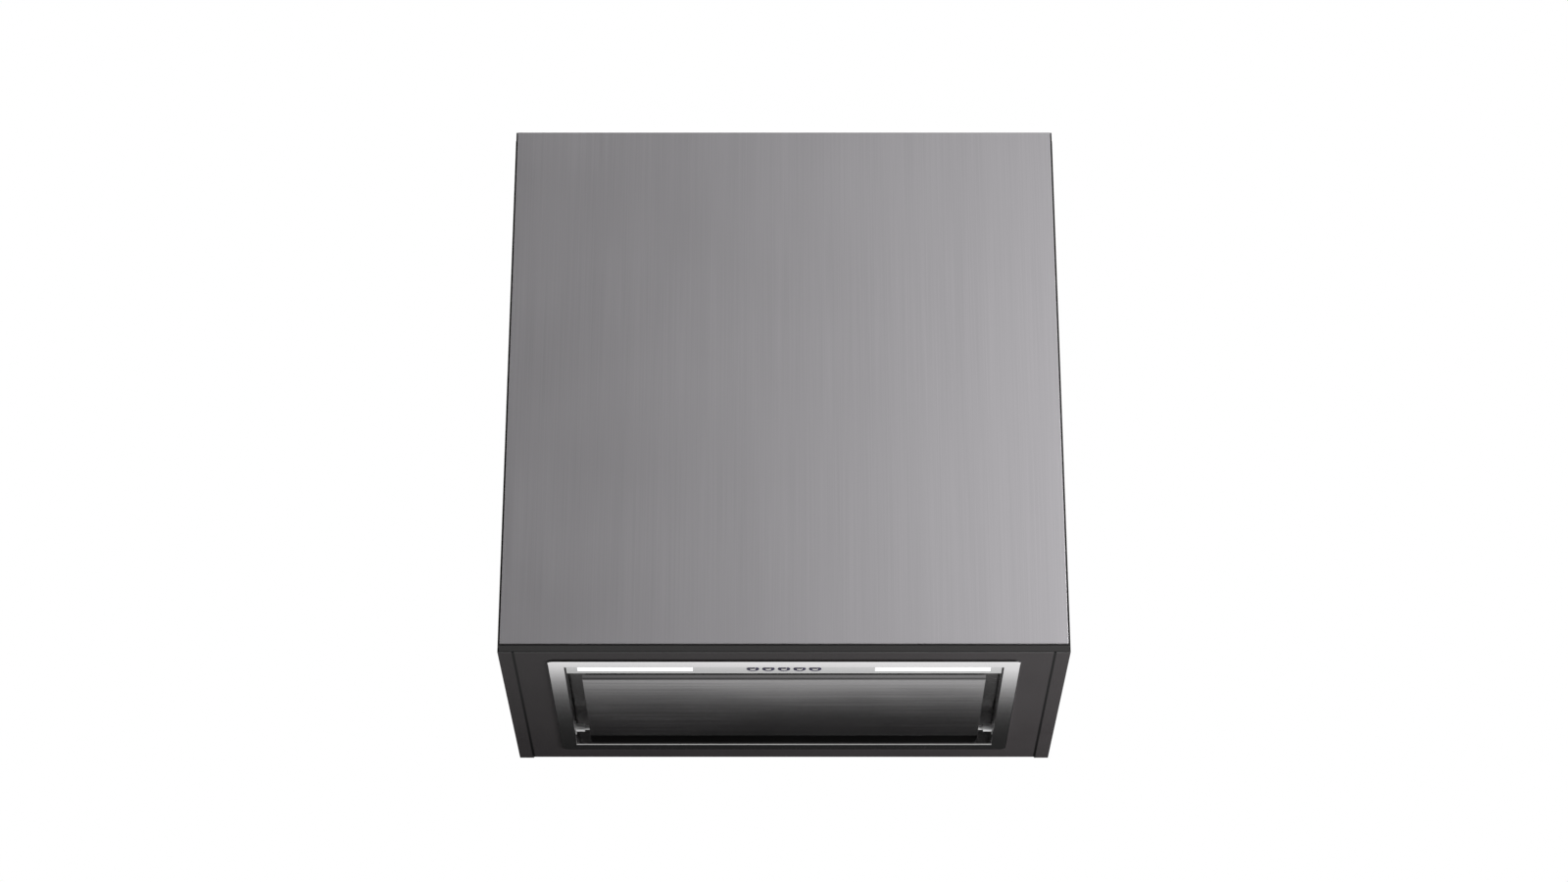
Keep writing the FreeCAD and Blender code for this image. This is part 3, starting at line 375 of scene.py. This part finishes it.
def brushed(name, along, dark, pale, metallic, roughness, depth, painted_shade_line=None):
    material, start = new_material(name)
    place = start.place()
    fine = grain(start, place, along, *FINE_SCRATCHES)
    broad = grain(start, place, along, *BELT_BANDS)
    smudge = speckle(start, place, *SMUDGES)
    colour = (0.75 * fine + 0.25 * broad).between(0.32, 0.68).mix(dark, pale)
    dullness = roughness + 0.14 * (fine - 0.5) + 0.10 * (smudge - 0.5)
    # Painted shade: the mask's line is made darker and duller.
    if painted_shade_line:
        line = painted_shade_line(place)
        colour = line.mix(colour, PAINTED_SHADE_TINT)
        dullness = dullness + PAINTED_SHADE_DULLNESS * line
    show(start.node("ShaderNodeBsdfPrincipled", {}, {
        "Base Color": colour,
        "Metallic": metallic,
        "Roughness": dullness,
        "Normal": bump(start, fine, depth)}))
    return material


# Grain, dark and pale colour, metallic, roughness, depth of the scratches in millimetres.
STEEL = (ACROSS, grey(0.50, 0.012, 0.006), grey(0.58, 0.012, 0.006), 1.0, 0.13, 0.006)
# Each row starts with the name of the material, and two of them end with a mask of painted shade.
BRUSHED = {
    "door_sheet": ("brushed_grey_sheet", UPRIGHT, grey(0.390, 0.012, 0.018),
                   grey(0.440, 0.012, 0.018), 0.70, 0.40, 0.01),
    "stainless": ("brushed_stainless", *STEEL),
    "panel": ("brushed_panel", *STEEL, hem_step_shade),
    # The tray is the same stainless steel painted darker, as shade, since it lies in the shaded
    # channel.
    "tray": ("tray_steel_painted_shade", ACROSS, grey(0.13, 0.005), grey(0.16, 0.005), 1.0, 0.24, 0.006),
    "trim": ("brushed_trim", ACROSS, grey(0.73, 0.012, 0.006), grey(0.81, 0.012, 0.006),
             1.0, 0.11, 0.006, flange_rim_shade),
    "bar": ("brushed_bar", ACROSS, grey(0.72), grey(0.80), 1.0, 0.13, 0.006),
    "clips": ("satin_clips", ACROSS, grey(0.50), grey(0.60), 0.6, 0.26, 0.01),
    "plain_steel": ("drawn_steel", DEEP, grey(0.46), grey(0.56), 1.0, 0.30, 0.01),
    "aluminium": ("mill_aluminium", ACROSS, grey(0.60), grey(0.70), 1.0, 0.34, 0.02),
}
FINISH = {finish: brushed(*row) for finish, row in BRUSHED.items()}
print("brushed finishes", sorted(FINISH))

# %% [markdown]
# ## Board
# The wall unit is chipboard with a dark, slightly warm laminate. Its surface is pressed with fine
# pores, so it is neither glossy nor quite dull. Two noises are enough: pores below a millimetre,
# and a cloud a hand wide that keeps a large board from looking like flat paint. Under the unit and
# on its roof a thin dark line is left where the side boards meet the boards between them, and a
# pale line behind the front edges is a painted highlight, where the rounded edge catches light.

# %% Laminate
board_low, board_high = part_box("side_panel_right")
JOINT_X = board_low.x
JOINT_WIDTH = 0.0018
JOINT_REACH = 0.002
# Painted highlight: a pale line just behind the front edges of the boards.
FRONT_EDGE_Y = board_low.y
EDGE_HIGHLIGHT_START = 0.0001
EDGE_HIGHLIGHT_DEPTH = 0.0024
PAINTED_EDGE_HIGHLIGHT_TINT = grey(0.075)
JOINT_TINT = grey(0.004)
# Waves per metre and detail.
PORES = (900.0, 2.0)
CLOUD = (7.0, 4.0)
MIDDLE_Z = (board_low.z + board_high.z) / 2.0
HALF_Z = (board_high.z - board_low.z) / 2.0


def laminate(name, dark, pale, shine, carcass):
    material, start = new_material(name)
    place = start.place()
    pores = speckle(start, place, *PORES)
    cloud = speckle(start, place, *CLOUD)
    tone = (0.55 * pores + 0.45 * cloud).between(0.35, 0.65)
    colour = tone.mix(dark, pale)
    if carcass:
        across, deep, upright = place.axes("XYZ")
        # Painted highlight: a pale line just behind the front edges, where a rounded edge catches
        # light.
        behind_edge = deep - FRONT_EDGE_Y
        painted_edge_highlight = behind_edge.between(EDGE_HIGHLIGHT_START, 3.0 * EDGE_HIGHLIGHT_START)
        painted_edge_highlight = painted_edge_highlight * behind_edge.between(EDGE_HIGHLIGHT_DEPTH, 0.75 * EDGE_HIGHLIGHT_DEPTH)
        beside_joint = abs(abs(across) - JOINT_X)
        off_middle = abs(upright - MIDDLE_Z)
        joint = beside_joint.between(JOINT_WIDTH, JOINT_WIDTH / 2.0)
        joint = joint * off_middle.between(HALF_Z - JOINT_REACH, HALF_Z - JOINT_REACH / 2.0)
        colour = joint.mix(painted_edge_highlight.mix(colour, PAINTED_EDGE_HIGHLIGHT_TINT), JOINT_TINT)
    show(start.node("ShaderNodeBsdfPrincipled", {}, {
        "Base Color": colour,
        "Specular IOR Level": shine,
        "Roughness": 0.46 + 0.14 * (cloud - 0.5) + 0.10 * (pores - 0.5),
        "Normal": bump(start, pores, 0.03)}))
    return material


FINISH["laminate"] = laminate("dark_laminate", grey(0.025, 0.0028, 0.001),
                              grey(0.037, 0.0036, 0.001), shine=0.06, carcass=True)
FINISH["door_laminate"] = laminate("door_laminate", grey(0.013, 0.001), grey(0.020, 0.001),
                                   shine=0.08, carcass=False)
print("laminate, joints at x", round(JOINT_X, 4), "and edging at y", round(FRONT_EDGE_Y, 4))

# %% [markdown]
# ## Galvanised sheet
# Hot zinc freezes in crystals as large as a fingernail, each of which mirrors a little
# differently and is feathered along a direction of its own. A Voronoi pattern gives every crystal
# a random colour. Read as a number, that colour is the crystal's grey and gloss. Read as a vector,
# it is the direction of fine waves inside the crystal. A small noise frays the borders.

# %% Zinc crystals
CRYSTALS_PER_METRE = 110.0
CRYSTAL_FRAY = 0.0018
FRAYS_PER_METRE = 260.0
FEATHERS = 9000.0


def galvanised():
    material, start = new_material("zinc_crystals")
    place = start.place()
    fray = start.node("ShaderNodeTexNoise", {}, {
        "Vector": place, "Scale": FRAYS_PER_METRE, "Detail": 3.0}, "Color")
    frayed = start.node("ShaderNodeVectorMath", {"operation": "MULTIPLY_ADD"}, {
        0: fray, 1: (CRYSTAL_FRAY,) * 3, 2: place})
    crystal = start.node("ShaderNodeTexVoronoi", {}, {
        "Vector": frayed, "Scale": CRYSTALS_PER_METRE}, "Color")
    tone = start.node("ShaderNodeSeparateColor", {}, {"Color": crystal})
    lean = start.node("ShaderNodeVectorMath", {"operation": "SUBTRACT"}, {
        0: crystal, 1: (0.5,) * 3})
    along = start.node("ShaderNodeVectorMath", {"operation": "DOT_PRODUCT"}, {
        0: frayed, 1: lean}, "Value")
    feather = 0.5 + 0.5 * start.math("SINE", along * FEATHERS)
    frost = speckle(start, place, 350.0, 3.0)
    colour = (0.45 * tone + 0.30 * feather + 0.25 * frost).mix(
        grey(0.36, -0.004, 0.008), grey(0.60, -0.004, 0.012))
    show(start.node("ShaderNodeBsdfPrincipled", {}, {
        "Base Color": colour,
        "Metallic": 0.85,
        "Roughness": 0.34 + 0.14 * tone + 0.06 * feather + 0.10 * (frost - 0.5),
        "Normal": bump(start, frost, 0.02)}))
    return material


FINISH["zinc"] = galvanised()
print("zinc crystals about", round(1000.0 / CRYSTALS_PER_METRE), "mm wide")

# %% [markdown]
# ## Moulded and rubber parts
# Injection moulds are spark-eroded, which leaves a fine even texture on black and grey plastic.
# Rubber and foam have the same texture, only coarser and duller, so one function makes them all.

# %% Moulded finishes


def moulded(name, dark, pale, per_metre, roughness, depth, shine=0.5):
    material, start = new_material(name)
    place = start.place()
    grit = speckle(start, place, per_metre, 2.0)
    cloud = speckle(start, place, 12.0, 3.0)
    show(start.node("ShaderNodeBsdfPrincipled", {}, {
        "Base Color": (0.5 * grit + 0.5 * cloud).between(0.3, 0.7).mix(dark, pale),
        "Specular IOR Level": shine,
        "Roughness": roughness + 0.16 * (cloud - 0.5) + 0.08 * (grit - 0.5),
        "Normal": bump(start, grit, depth)}))
    return material


# Material, dark and pale colour, grains per metre, roughness, depth of the grain, shine.
MOULDED = {
    "black_plastic": ("black_moulding", grey(0.016), grey(0.026), 1500.0, 0.48, 0.04),
    "grey_plastic": ("grey_moulding", grey(0.20), grey(0.27), 1500.0, 0.50, 0.04),
    "violet_plastic": ("violet_moulding", grey(0.013, 0.004, 0.026), grey(0.022, 0.006, 0.042),
                       1500.0, 0.40, 0.02, 0.1),
    "rubber": ("black_rubber", grey(0.005), grey(0.009), 700.0, 0.85, 0.08, 0.03),
    "clear_rubber": ("clear_rubber", grey(0.52), grey(0.62), 700.0, 0.40, 0.02),
}
for finish, row in MOULDED.items():
    FINISH[finish] = moulded(*row)
print("moulded finishes", sorted(MOULDED))

# %% [markdown]
# ## Lights, circuit boards and motor iron
# The light strips are opal plastic over a row of small chips, which show as a faint beat in the
# glow. Circuit boards are green lacquer over straight copper tracks. The stator is a stack of thin
# stamped plates, so its side is finely lined.

# %% Lamps and electrical finishes
CHIP_WAVES = 31.0
STRIP_GLOW = 1.1
TRACK_ROWS = 90.0
PLATE_WAVES = 320.0


def light_strip():
    material, start = new_material("lit_opal")
    place = start.place()
    chips = start.node("ShaderNodeTexWave", {"bands_direction": "X"}, {
        "Vector": place, "Scale": CHIP_WAVES, "Distortion": 0.0})
    frost = speckle(start, place, 600.0, 2.0)
    glow = (0.8 * chips + 0.2 * frost).mix(grey(0.93, 0.0, 0.02), grey(1.0))
    show(start.node("ShaderNodeBsdfPrincipled", {}, {
        "Base Color": frost.mix(grey(0.78), grey(0.84)),
        "Roughness": 0.4 + 0.1 * frost,
        "Emission Color": glow,
        "Emission Strength": STRIP_GLOW}))
    return material


def circuit_board():
    material, start = new_material("green_lacquer")
    place = start.place()
    tracks = start.node("ShaderNodeTexBrick", {}, {
        "Vector": place, "Scale": TRACK_ROWS, "Mortar Size": 0.05}, "Fac")
    show(start.node("ShaderNodeBsdfPrincipled", {}, {
        "Base Color": tracks.mix((0.012, 0.075, 0.030, 1.0), (0.050, 0.170, 0.060, 1.0)),
        "Roughness": 0.34 - 0.08 * tracks}))
    return material


def lined_iron():
    material, start = new_material("stacked_iron")
    place = start.place()
    plates = start.node("ShaderNodeTexWave", {"bands_direction": "X"}, {
        "Vector": place, "Scale": PLATE_WAVES, "Distortion": 0.4})
    rust = speckle(start, place, 120.0, 4.0)
    show(start.node("ShaderNodeBsdfPrincipled", {}, {
        "Base Color": (0.6 * plates + 0.4 * rust).mix(grey(0.11, 0.012), grey(0.27, 0.006)),
        "Metallic": 0.7,
        "Roughness": 0.42 + 0.16 * rust,
        "Normal": bump(start, plates, 0.05)}))
    return material


FINISH["light"] = light_strip()
FINISH["circuit"] = circuit_board()
FINISH["iron"] = lined_iron()
print("electrical finishes light, circuit and iron, in all", len(FINISH))

# %% [markdown]
# ## Woven metal
# Behind the expanded metal a grease filter holds several layers of finer mesh. Two crossed waves
# give that weave its dark holes.

# %% Filter pack
WEAVE_WAVES = 110.0


def woven_mesh():
    material, start = new_material("woven_wire")
    place = start.place()
    across, deep = [start.node("ShaderNodeTexWave", {"bands_direction": axis}, {
        "Vector": place, "Scale": WEAVE_WAVES, "Distortion": 0.6, "Detail": 1.0}) for axis in "XY"]
    wire = 1.0 - (1.0 - across) * (1.0 - deep)
    show(start.node("ShaderNodeBsdfPrincipled", {}, {
        "Base Color": wire.between(0.35, 0.9).mix(grey(0.05), grey(0.40)),
        "Metallic": 0.8,
        "Roughness": 0.55 - 0.15 * wire,
        "Normal": bump(start, wire, 0.4)}))
    return material


FINISH["woven"] = woven_mesh()
print("finishes", len(FINISH))

# %% [markdown]
# ## Dressing the CAD nodes
# Each node keeps its shape and gets the finish of the material it is made of. The list is sorted
# by finish, as a workshop sorts its stock, so it is easy to see what else changes with a finish.
# The five buttons are missing from it: they are turned anew below, in two finishes each.

# %% Finishes on the nodes
MADE_OF = {
    "laminate": ["side_panel_left", "side_panel_right", "base_panel", "top_panel", "back_panel",
                 "hanging_rail"],
    "door_laminate": ["door_board"],
    "door_sheet": ["door_skin"],
    "trim": ["trim_frame"],
    "bar": ["control_bar"],
    "panel": ["panel_skin"],
    "stainless": ["panel_back"],
    "tray": ["filter_tray"],
    "clips": ["panel_hinge_brackets", "panel_hinge_pins"],
    "plain_steel": ["door_hinge_pins", "door_hinge_arms", "door_hinge_screws", "fixing_screws",
                    "panel_keepers", "motor_shaft", "motor_bearings", "damper_spindle"],
    "zinc": ["casing", "casing_lid", "fixing_brackets", "duct_pipe", "motor_bracket",
             "motor_shield_front", "motor_shield_rear"],
    "aluminium": ["filter_frames"],
    "woven": ["filter_meshes"],
    "rubber": ["rear_seal", "motor_rubbers", "duct_seal"],
    "clear_rubber": ["door_buffers"],
    "light": ["light_lenses"],
    "circuit": ["light_boards", "control_board"],
    "black_plastic": ["button_guide", "panel_catches", "scroll_left", "scroll_right", "impeller",
                      "outlet_collar", "power_box", "power_box_cover", "cable_gland",
                      "filter_latch_left", "filter_latch_right"],
    "grey_plastic": ["damper_flap_front", "damper_flap_rear"],
    "violet_plastic": ["button_bezels"],
    "iron": ["motor_stator", "motor_rotor"],
}


def dress(node, finish):
    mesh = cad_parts[node].data
    mesh.materials.clear()
    mesh.materials.append(FINISH[finish])


for finish, nodes in MADE_OF.items():
    for node in nodes:
        dress(node, finish)
print("dressed", sum(len(nodes) for nodes in MADE_OF.values()), "nodes")

# %% [markdown]
# ## Push buttons
# Each button is a small turned cap: a dark ring that lights up, a groove and a dished metal face.
# Half of its section is drawn once and spun round the button's own axis, so every button is a
# true turning. It takes the place of the plain cap of the model and is pressed with it.

# %% Turned buttons
CREASE = math.radians(35.0)
WELD = 1e-6
BUTTON_STEPS = 40
BUTTON_RING_IN = 0.0033
RING_DEPTH = 0.001
# Radius and height over the lowest point of the button.
BUTTON_DISH = [(0.0, 0.00016), (0.0022, 0.00010)]
GROOVE_REACH = 0.0002
GROOVE_DEPTH = 0.00025
CAP_IN = 0.0004
CAP_ROUND = 0.0004
COLLAR_LOW = 0.00165
COLLAR_HIGH = 0.00315
STEM = 0.002


def piece(name, shape, body, finishes):
    """Makes a shape into an object that rides on a body."""
    for face in shape.faces:
        face.smooth = True
    for edge in shape.edges:
        edge.smooth = edge.calc_face_angle(0.0) < CREASE
    mesh = bpy.data.meshes.new(name)
    shape.to_mesh(mesh)
    shape.free()
    for finish in finishes:
        mesh.materials.append(FINISH[finish])
    made = bpy.data.objects.new(name, mesh)
    bpy.context.scene.collection.objects.link(made)
    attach(made, body)
    print(name, len(mesh.polygons), "faces on", body)
    return made


def turned(shape, section, place, steps):
    """Spins a section, given as radius and height, round the upright axis of a place."""
    points = [shape.verts.new(place @ Vector((radius, 0.0, height))) for radius, height in section]
    lines = [shape.edges.new(pair) for pair in zip(points, points[1:])]
    bmesh.ops.spin(shape, geom=points + lines, cent=place.translation,
                   axis=place.to_3x3() @ Vector((0.0, 0.0, 1.0)),
                   angle=2.0 * math.pi, steps=steps, use_merge=True)
    bmesh.ops.remove_doubles(shape, verts=shape.verts, dist=WELD)
    bmesh.ops.recalc_face_normals(shape, faces=shape.faces)


def push_button(number):
    node = "button_%d" % number
    low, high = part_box(node)
    middle = (low + high) / 2.0
    rim = (high.x - low.x) / 2.0
    cap = rim - CAP_IN
    groove = [(BUTTON_RING_IN - GROOVE_REACH, 0.0), (BUTTON_RING_IN, GROOVE_DEPTH),
              (BUTTON_RING_IN + GROOVE_REACH, 0.0)]
    side = [(cap - CAP_ROUND, 0.0), (cap, CAP_ROUND), (cap, COLLAR_LOW)]
    collar = [(rim, COLLAR_LOW), (rim, COLLAR_HIGH), (STEM, COLLAR_HIGH)]
    top = high.z - low.z
    section = BUTTON_DISH + groove + side + collar + [(STEM, top), (0.0, top)]
    shape = bmesh.new()
    turned(shape, section, Matrix.Translation((middle.x, middle.y, low.z)), BUTTON_STEPS)
    for face in shape.faces:
        spot = face.calc_center_median()
        out = math.hypot(spot.x - middle.x, spot.y - middle.y)
        if out > BUTTON_RING_IN or spot.z > low.z + RING_DEPTH:
            face.material_index = 1
    made = piece("push_%s" % node, shape, node, ["stainless", "violet_plastic"])
    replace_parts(made, node)


for number in range(1, 6):
    push_button(number)

# %% [markdown]
# ## Expanded metal
# The outer layer of a grease filter is a sheet that is slit and pulled open into diamonds. A grid
# that is turned by 45 degrees and stretched gives the diamonds, four cuts trim it to the frame, and
# an inset of every cell leaves the strands. The cells themselves are removed and the rest is
# lifted by its thickness. Remnants along the frame that are too narrow for a hole stay closed.

# %% Diamonds in the filters
DIAMOND_WIDTH = 0.012
DIAMOND_DEPTH = 0.006
STRAND = 0.0011
STRAND_THICKNESS = 0.0007
FILTER_APART = 0.0005
LAYER_GAP = 0.0001


def expanded_metal(name, low, high):
    """A sheet of diamonds between two corners of one layer."""
    middle = (low + high) / 2.0
    reach = (high - low) / 2.0
    cells = math.ceil(2.0 * reach.x / DIAMOND_WIDTH + 2.0 * reach.y / DIAMOND_DEPTH) + 1
    sheet = bmesh.new()
    bmesh.ops.create_grid(sheet, x_segments=cells, y_segments=cells, size=cells / math.sqrt(8.0))
    bmesh.ops.rotate(sheet, matrix=Matrix.Rotation(math.radians(45.0), 3, "Z"), verts=sheet.verts)
    bmesh.ops.scale(sheet, vec=(DIAMOND_WIDTH, DIAMOND_DEPTH, 1.0), verts=sheet.verts)
    bmesh.ops.translate(sheet, vec=middle, verts=sheet.verts)
    for side in (Vector((1, 0, 0)), Vector((-1, 0, 0)), Vector((0, 1, 0)), Vector((0, -1, 0))):
        edge = middle + Vector((side.x * reach.x, side.y * reach.y, 0.0))
        bmesh.ops.bisect_plane(sheet, geom=sheet.verts[:] + sheet.edges[:] + sheet.faces[:],
                               plane_co=edge, plane_no=side, clear_outer=True)
    holes = [cell for cell in sheet.faces
             if 2.0 * cell.calc_area() / cell.calc_perimeter() > STRAND]
    bmesh.ops.inset_individual(sheet, faces=holes, thickness=STRAND / 2.0, use_even_offset=True)
    bmesh.ops.delete(sheet, geom=holes, context="FACES")
    lifted = bmesh.ops.extrude_face_region(sheet, geom=sheet.faces[:])["geom"]
    bmesh.ops.translate(sheet, vec=(0.0, 0.0, STRAND_THICKNESS),
                        verts=[each for each in lifted if isinstance(each, bmesh.types.BMVert)])
    bmesh.ops.recalc_face_normals(sheet, faces=sheet.faces)
    return piece(name, sheet, "housing", ["aluminium"])


mesh_low, mesh_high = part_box("filter_meshes")
filter_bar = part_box("filter_frames")[1].x - mesh_high.x
mesh_inner = FILTER_APART + filter_bar
layer = mesh_low.z - STRAND_THICKNESS - LAYER_GAP
expanded_metal("expanded_metal_right", Vector((mesh_inner, mesh_low.y, layer)),
               Vector((mesh_high.x, mesh_high.y, layer)))
expanded_metal("expanded_metal_left", Vector((mesh_low.x, mesh_low.y, layer)),
               Vector((-mesh_inner, mesh_high.y, layer)))

# %% [markdown]
# ## Screws
# A pan head with a star recess is a stack of rings: the floor and the rim of the recess are pulled
# into six lobes, the rings of the head and the shank are round. Each ring is bridged to the next,
# and the two ends are filled. Neighbouring rings lie at different heights, because flat ones can be
# bridged inside out. The screws of the power box show only their heads, the first six rings.

# %% Star-drive screws
SCREW_HEAD_RADIUS = 0.0035
SCREW_CORNERS = 24
STAR_LOBES = 6.0
# Radius, height and depth of the lobes: first the recess, then the head, last the shank.
SCREW_RINGS = [(0.0012, -0.0011, 0.14), (0.0016, -0.0002, 0.14),
               (0.0022, 0.0, 0.0), (0.0031, -0.0004, 0.0), (SCREW_HEAD_RADIUS, -0.0011, 0.0),
               (SCREW_HEAD_RADIUS, -0.0020, 0.0),
               (0.0017, -0.0022, 0.0), (0.0017, -0.0115, 0.0), (0.0003, -0.0140, 0.0)]
HEAD_RINGS = SCREW_RINGS[:6]


def star_screw(shape, place, rings):
    """Adds one screw to a shape."""
    loops = []
    for radius, height, lobes in rings:
        points = bmesh.ops.create_circle(shape, segments=SCREW_CORNERS, radius=radius)["verts"]
        for point in points:
            point.co *= 1.0 + lobes * math.cos(STAR_LOBES * math.atan2(point.co.y, point.co.x))
            point.co.z = height
        bmesh.ops.transform(shape, matrix=place, verts=points)
        loops.append(list({edge for point in points for edge in point.link_edges}))
    for upper, lower in zip(loops, loops[1:]):
        bmesh.ops.bridge_loops(shape, edges=upper + lower)
    for end in (loops[0], loops[-1]):
        bmesh.ops.edgeloop_fill(shape, edges=end)


def screws(name, places, rings):
    """A piece with a screw at each place."""
    shape = bmesh.new()
    for place in places:
        star_screw(shape, place, rings)
    bmesh.ops.recalc_face_normals(shape, faces=shape.faces)
    return piece(name, shape, "housing", ["plain_steel"])


def beside_hinges(apart):
    """Two places at each hinge arm, facing right."""
    low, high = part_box("door_hinge_screws")
    lowest, highest = low.z + SCREW_HEAD_RADIUS, high.z - SCREW_HEAD_RADIUS
    facing_right = Matrix.Rotation(math.radians(90.0), 4, "Y")
    return [Matrix.Translation((high.x, (low.y + high.y) / 2.0, height)) @ facing_right
            for height in (lowest, lowest + apart, highest - apart, highest)]


def at_corners(node, margin, rise):
    """Four places on top of a node, a margin in from its corners."""
    low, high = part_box(node)
    return [Matrix.Translation((x, y, high.z + rise))
            for x in (low.x + margin, high.x - margin)
            for y in (low.y + margin, high.y - margin)]


HINGE_SCREWS_APART = 0.020
COVER_SCREW_MARGIN = 0.007
COVER_SCREW_RISE = 0.0018
hinge_places = beside_hinges(HINGE_SCREWS_APART)
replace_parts(screws("hinge_screws", hinge_places, SCREW_RINGS), "door_hinge_screws")
fixing_places = at_corners("fixing_screws", SCREW_HEAD_RADIUS, 0.0)
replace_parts(screws("bracket_screws", fixing_places, SCREW_RINGS), "fixing_screws")
cover_places = at_corners("power_box_cover", COVER_SCREW_MARGIN, COVER_SCREW_RISE)
screws("cover_screws", cover_places, HEAD_RINGS)

# %% [markdown]
# ## Rivets and the duct's seam
# The casing is riveted along its front, above and at both sides. A rivet is a spun dome. The duct
# is rolled from one strip, and the lock seam of that strip winds round it: a small bead that is
# spun and lifted at each step.

# %% Rivets and seam
RIVET = [(0.0, -0.0003), (0.0030, -0.0003), (0.0029, 0.0004), (0.0023, 0.0010), (0.0012, 0.0014),
         (0.0, 0.0015)]
RIVET_MARGIN = 0.012
RIVET_STEPS = 16
RIVET_GAPS_ACROSS = 6
RIVET_GAPS_UP = 4
DUCT_BEAD_RISE = 0.0015
SEAM = [(-0.0004, -0.0030), (0.0005, -0.0022), (0.0008, 0.0), (0.0005, 0.0022), (-0.0004, 0.0030)]
SEAM_START = 0.012
SEAM_RISE = 0.085
SEAM_STEPS = 48
SEAM_TURNS = 3


def spread(first, last, gaps):
    """Evenly spaced values from the first to the last."""
    return [first + share * (last - first) / gaps for share in range(gaps + 1)]


def rivets():
    low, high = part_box("casing")
    columns = spread(low.x + RIVET_MARGIN, high.x - RIVET_MARGIN, RIVET_GAPS_ACROSS)
    rows = spread(low.z + 2.0 * RIVET_MARGIN, high.z - RIVET_MARGIN, RIVET_GAPS_UP)
    spots = [(x, rows[-1]) for x in columns]
    spots += [(x, z) for x in (columns[0], columns[-1]) for z in rows[:-1]]
    shape = bmesh.new()
    for x, z in spots:
        turned(shape, RIVET, Matrix.Translation((x, low.y, z)) @ facing_front, RIVET_STEPS)
    piece("casing_rivets", shape, "housing", ["aluminium"])


def lock_seam():
    low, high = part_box("duct_pipe")
    axis = Vector((0.0, (low.y + high.y) / 2.0, 0.0))
    radius = (high.x - low.x) / 2.0 - DUCT_BEAD_RISE
    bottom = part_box("outlet_collar")[0].z + SEAM_START
    shape = bmesh.new()
    points = [shape.verts.new((radius + out, axis.y, bottom + up)) for out, up in SEAM]
    lines = [shape.edges.new(pair) for pair in zip(points, points[1:] + points[:1])]
    ends = bmesh.ops.spin(shape, geom=points + lines, cent=axis, axis=(0.0, 0.0, 1.0),
                          dvec=(0.0, 0.0, SEAM_RISE / SEAM_STEPS), angle=2.0 * math.pi * SEAM_TURNS,
                          steps=SEAM_STEPS * SEAM_TURNS)["geom_last"]
    last_lines = [each for each in ends if isinstance(each, bmesh.types.BMEdge)]
    for end in (lines, last_lines):
        bmesh.ops.edgeloop_fill(shape, edges=end)
    bmesh.ops.recalc_face_normals(shape, faces=shape.faces)
    piece("duct_seam", shape, "housing", ["zinc"])


rivets()
lock_seam()
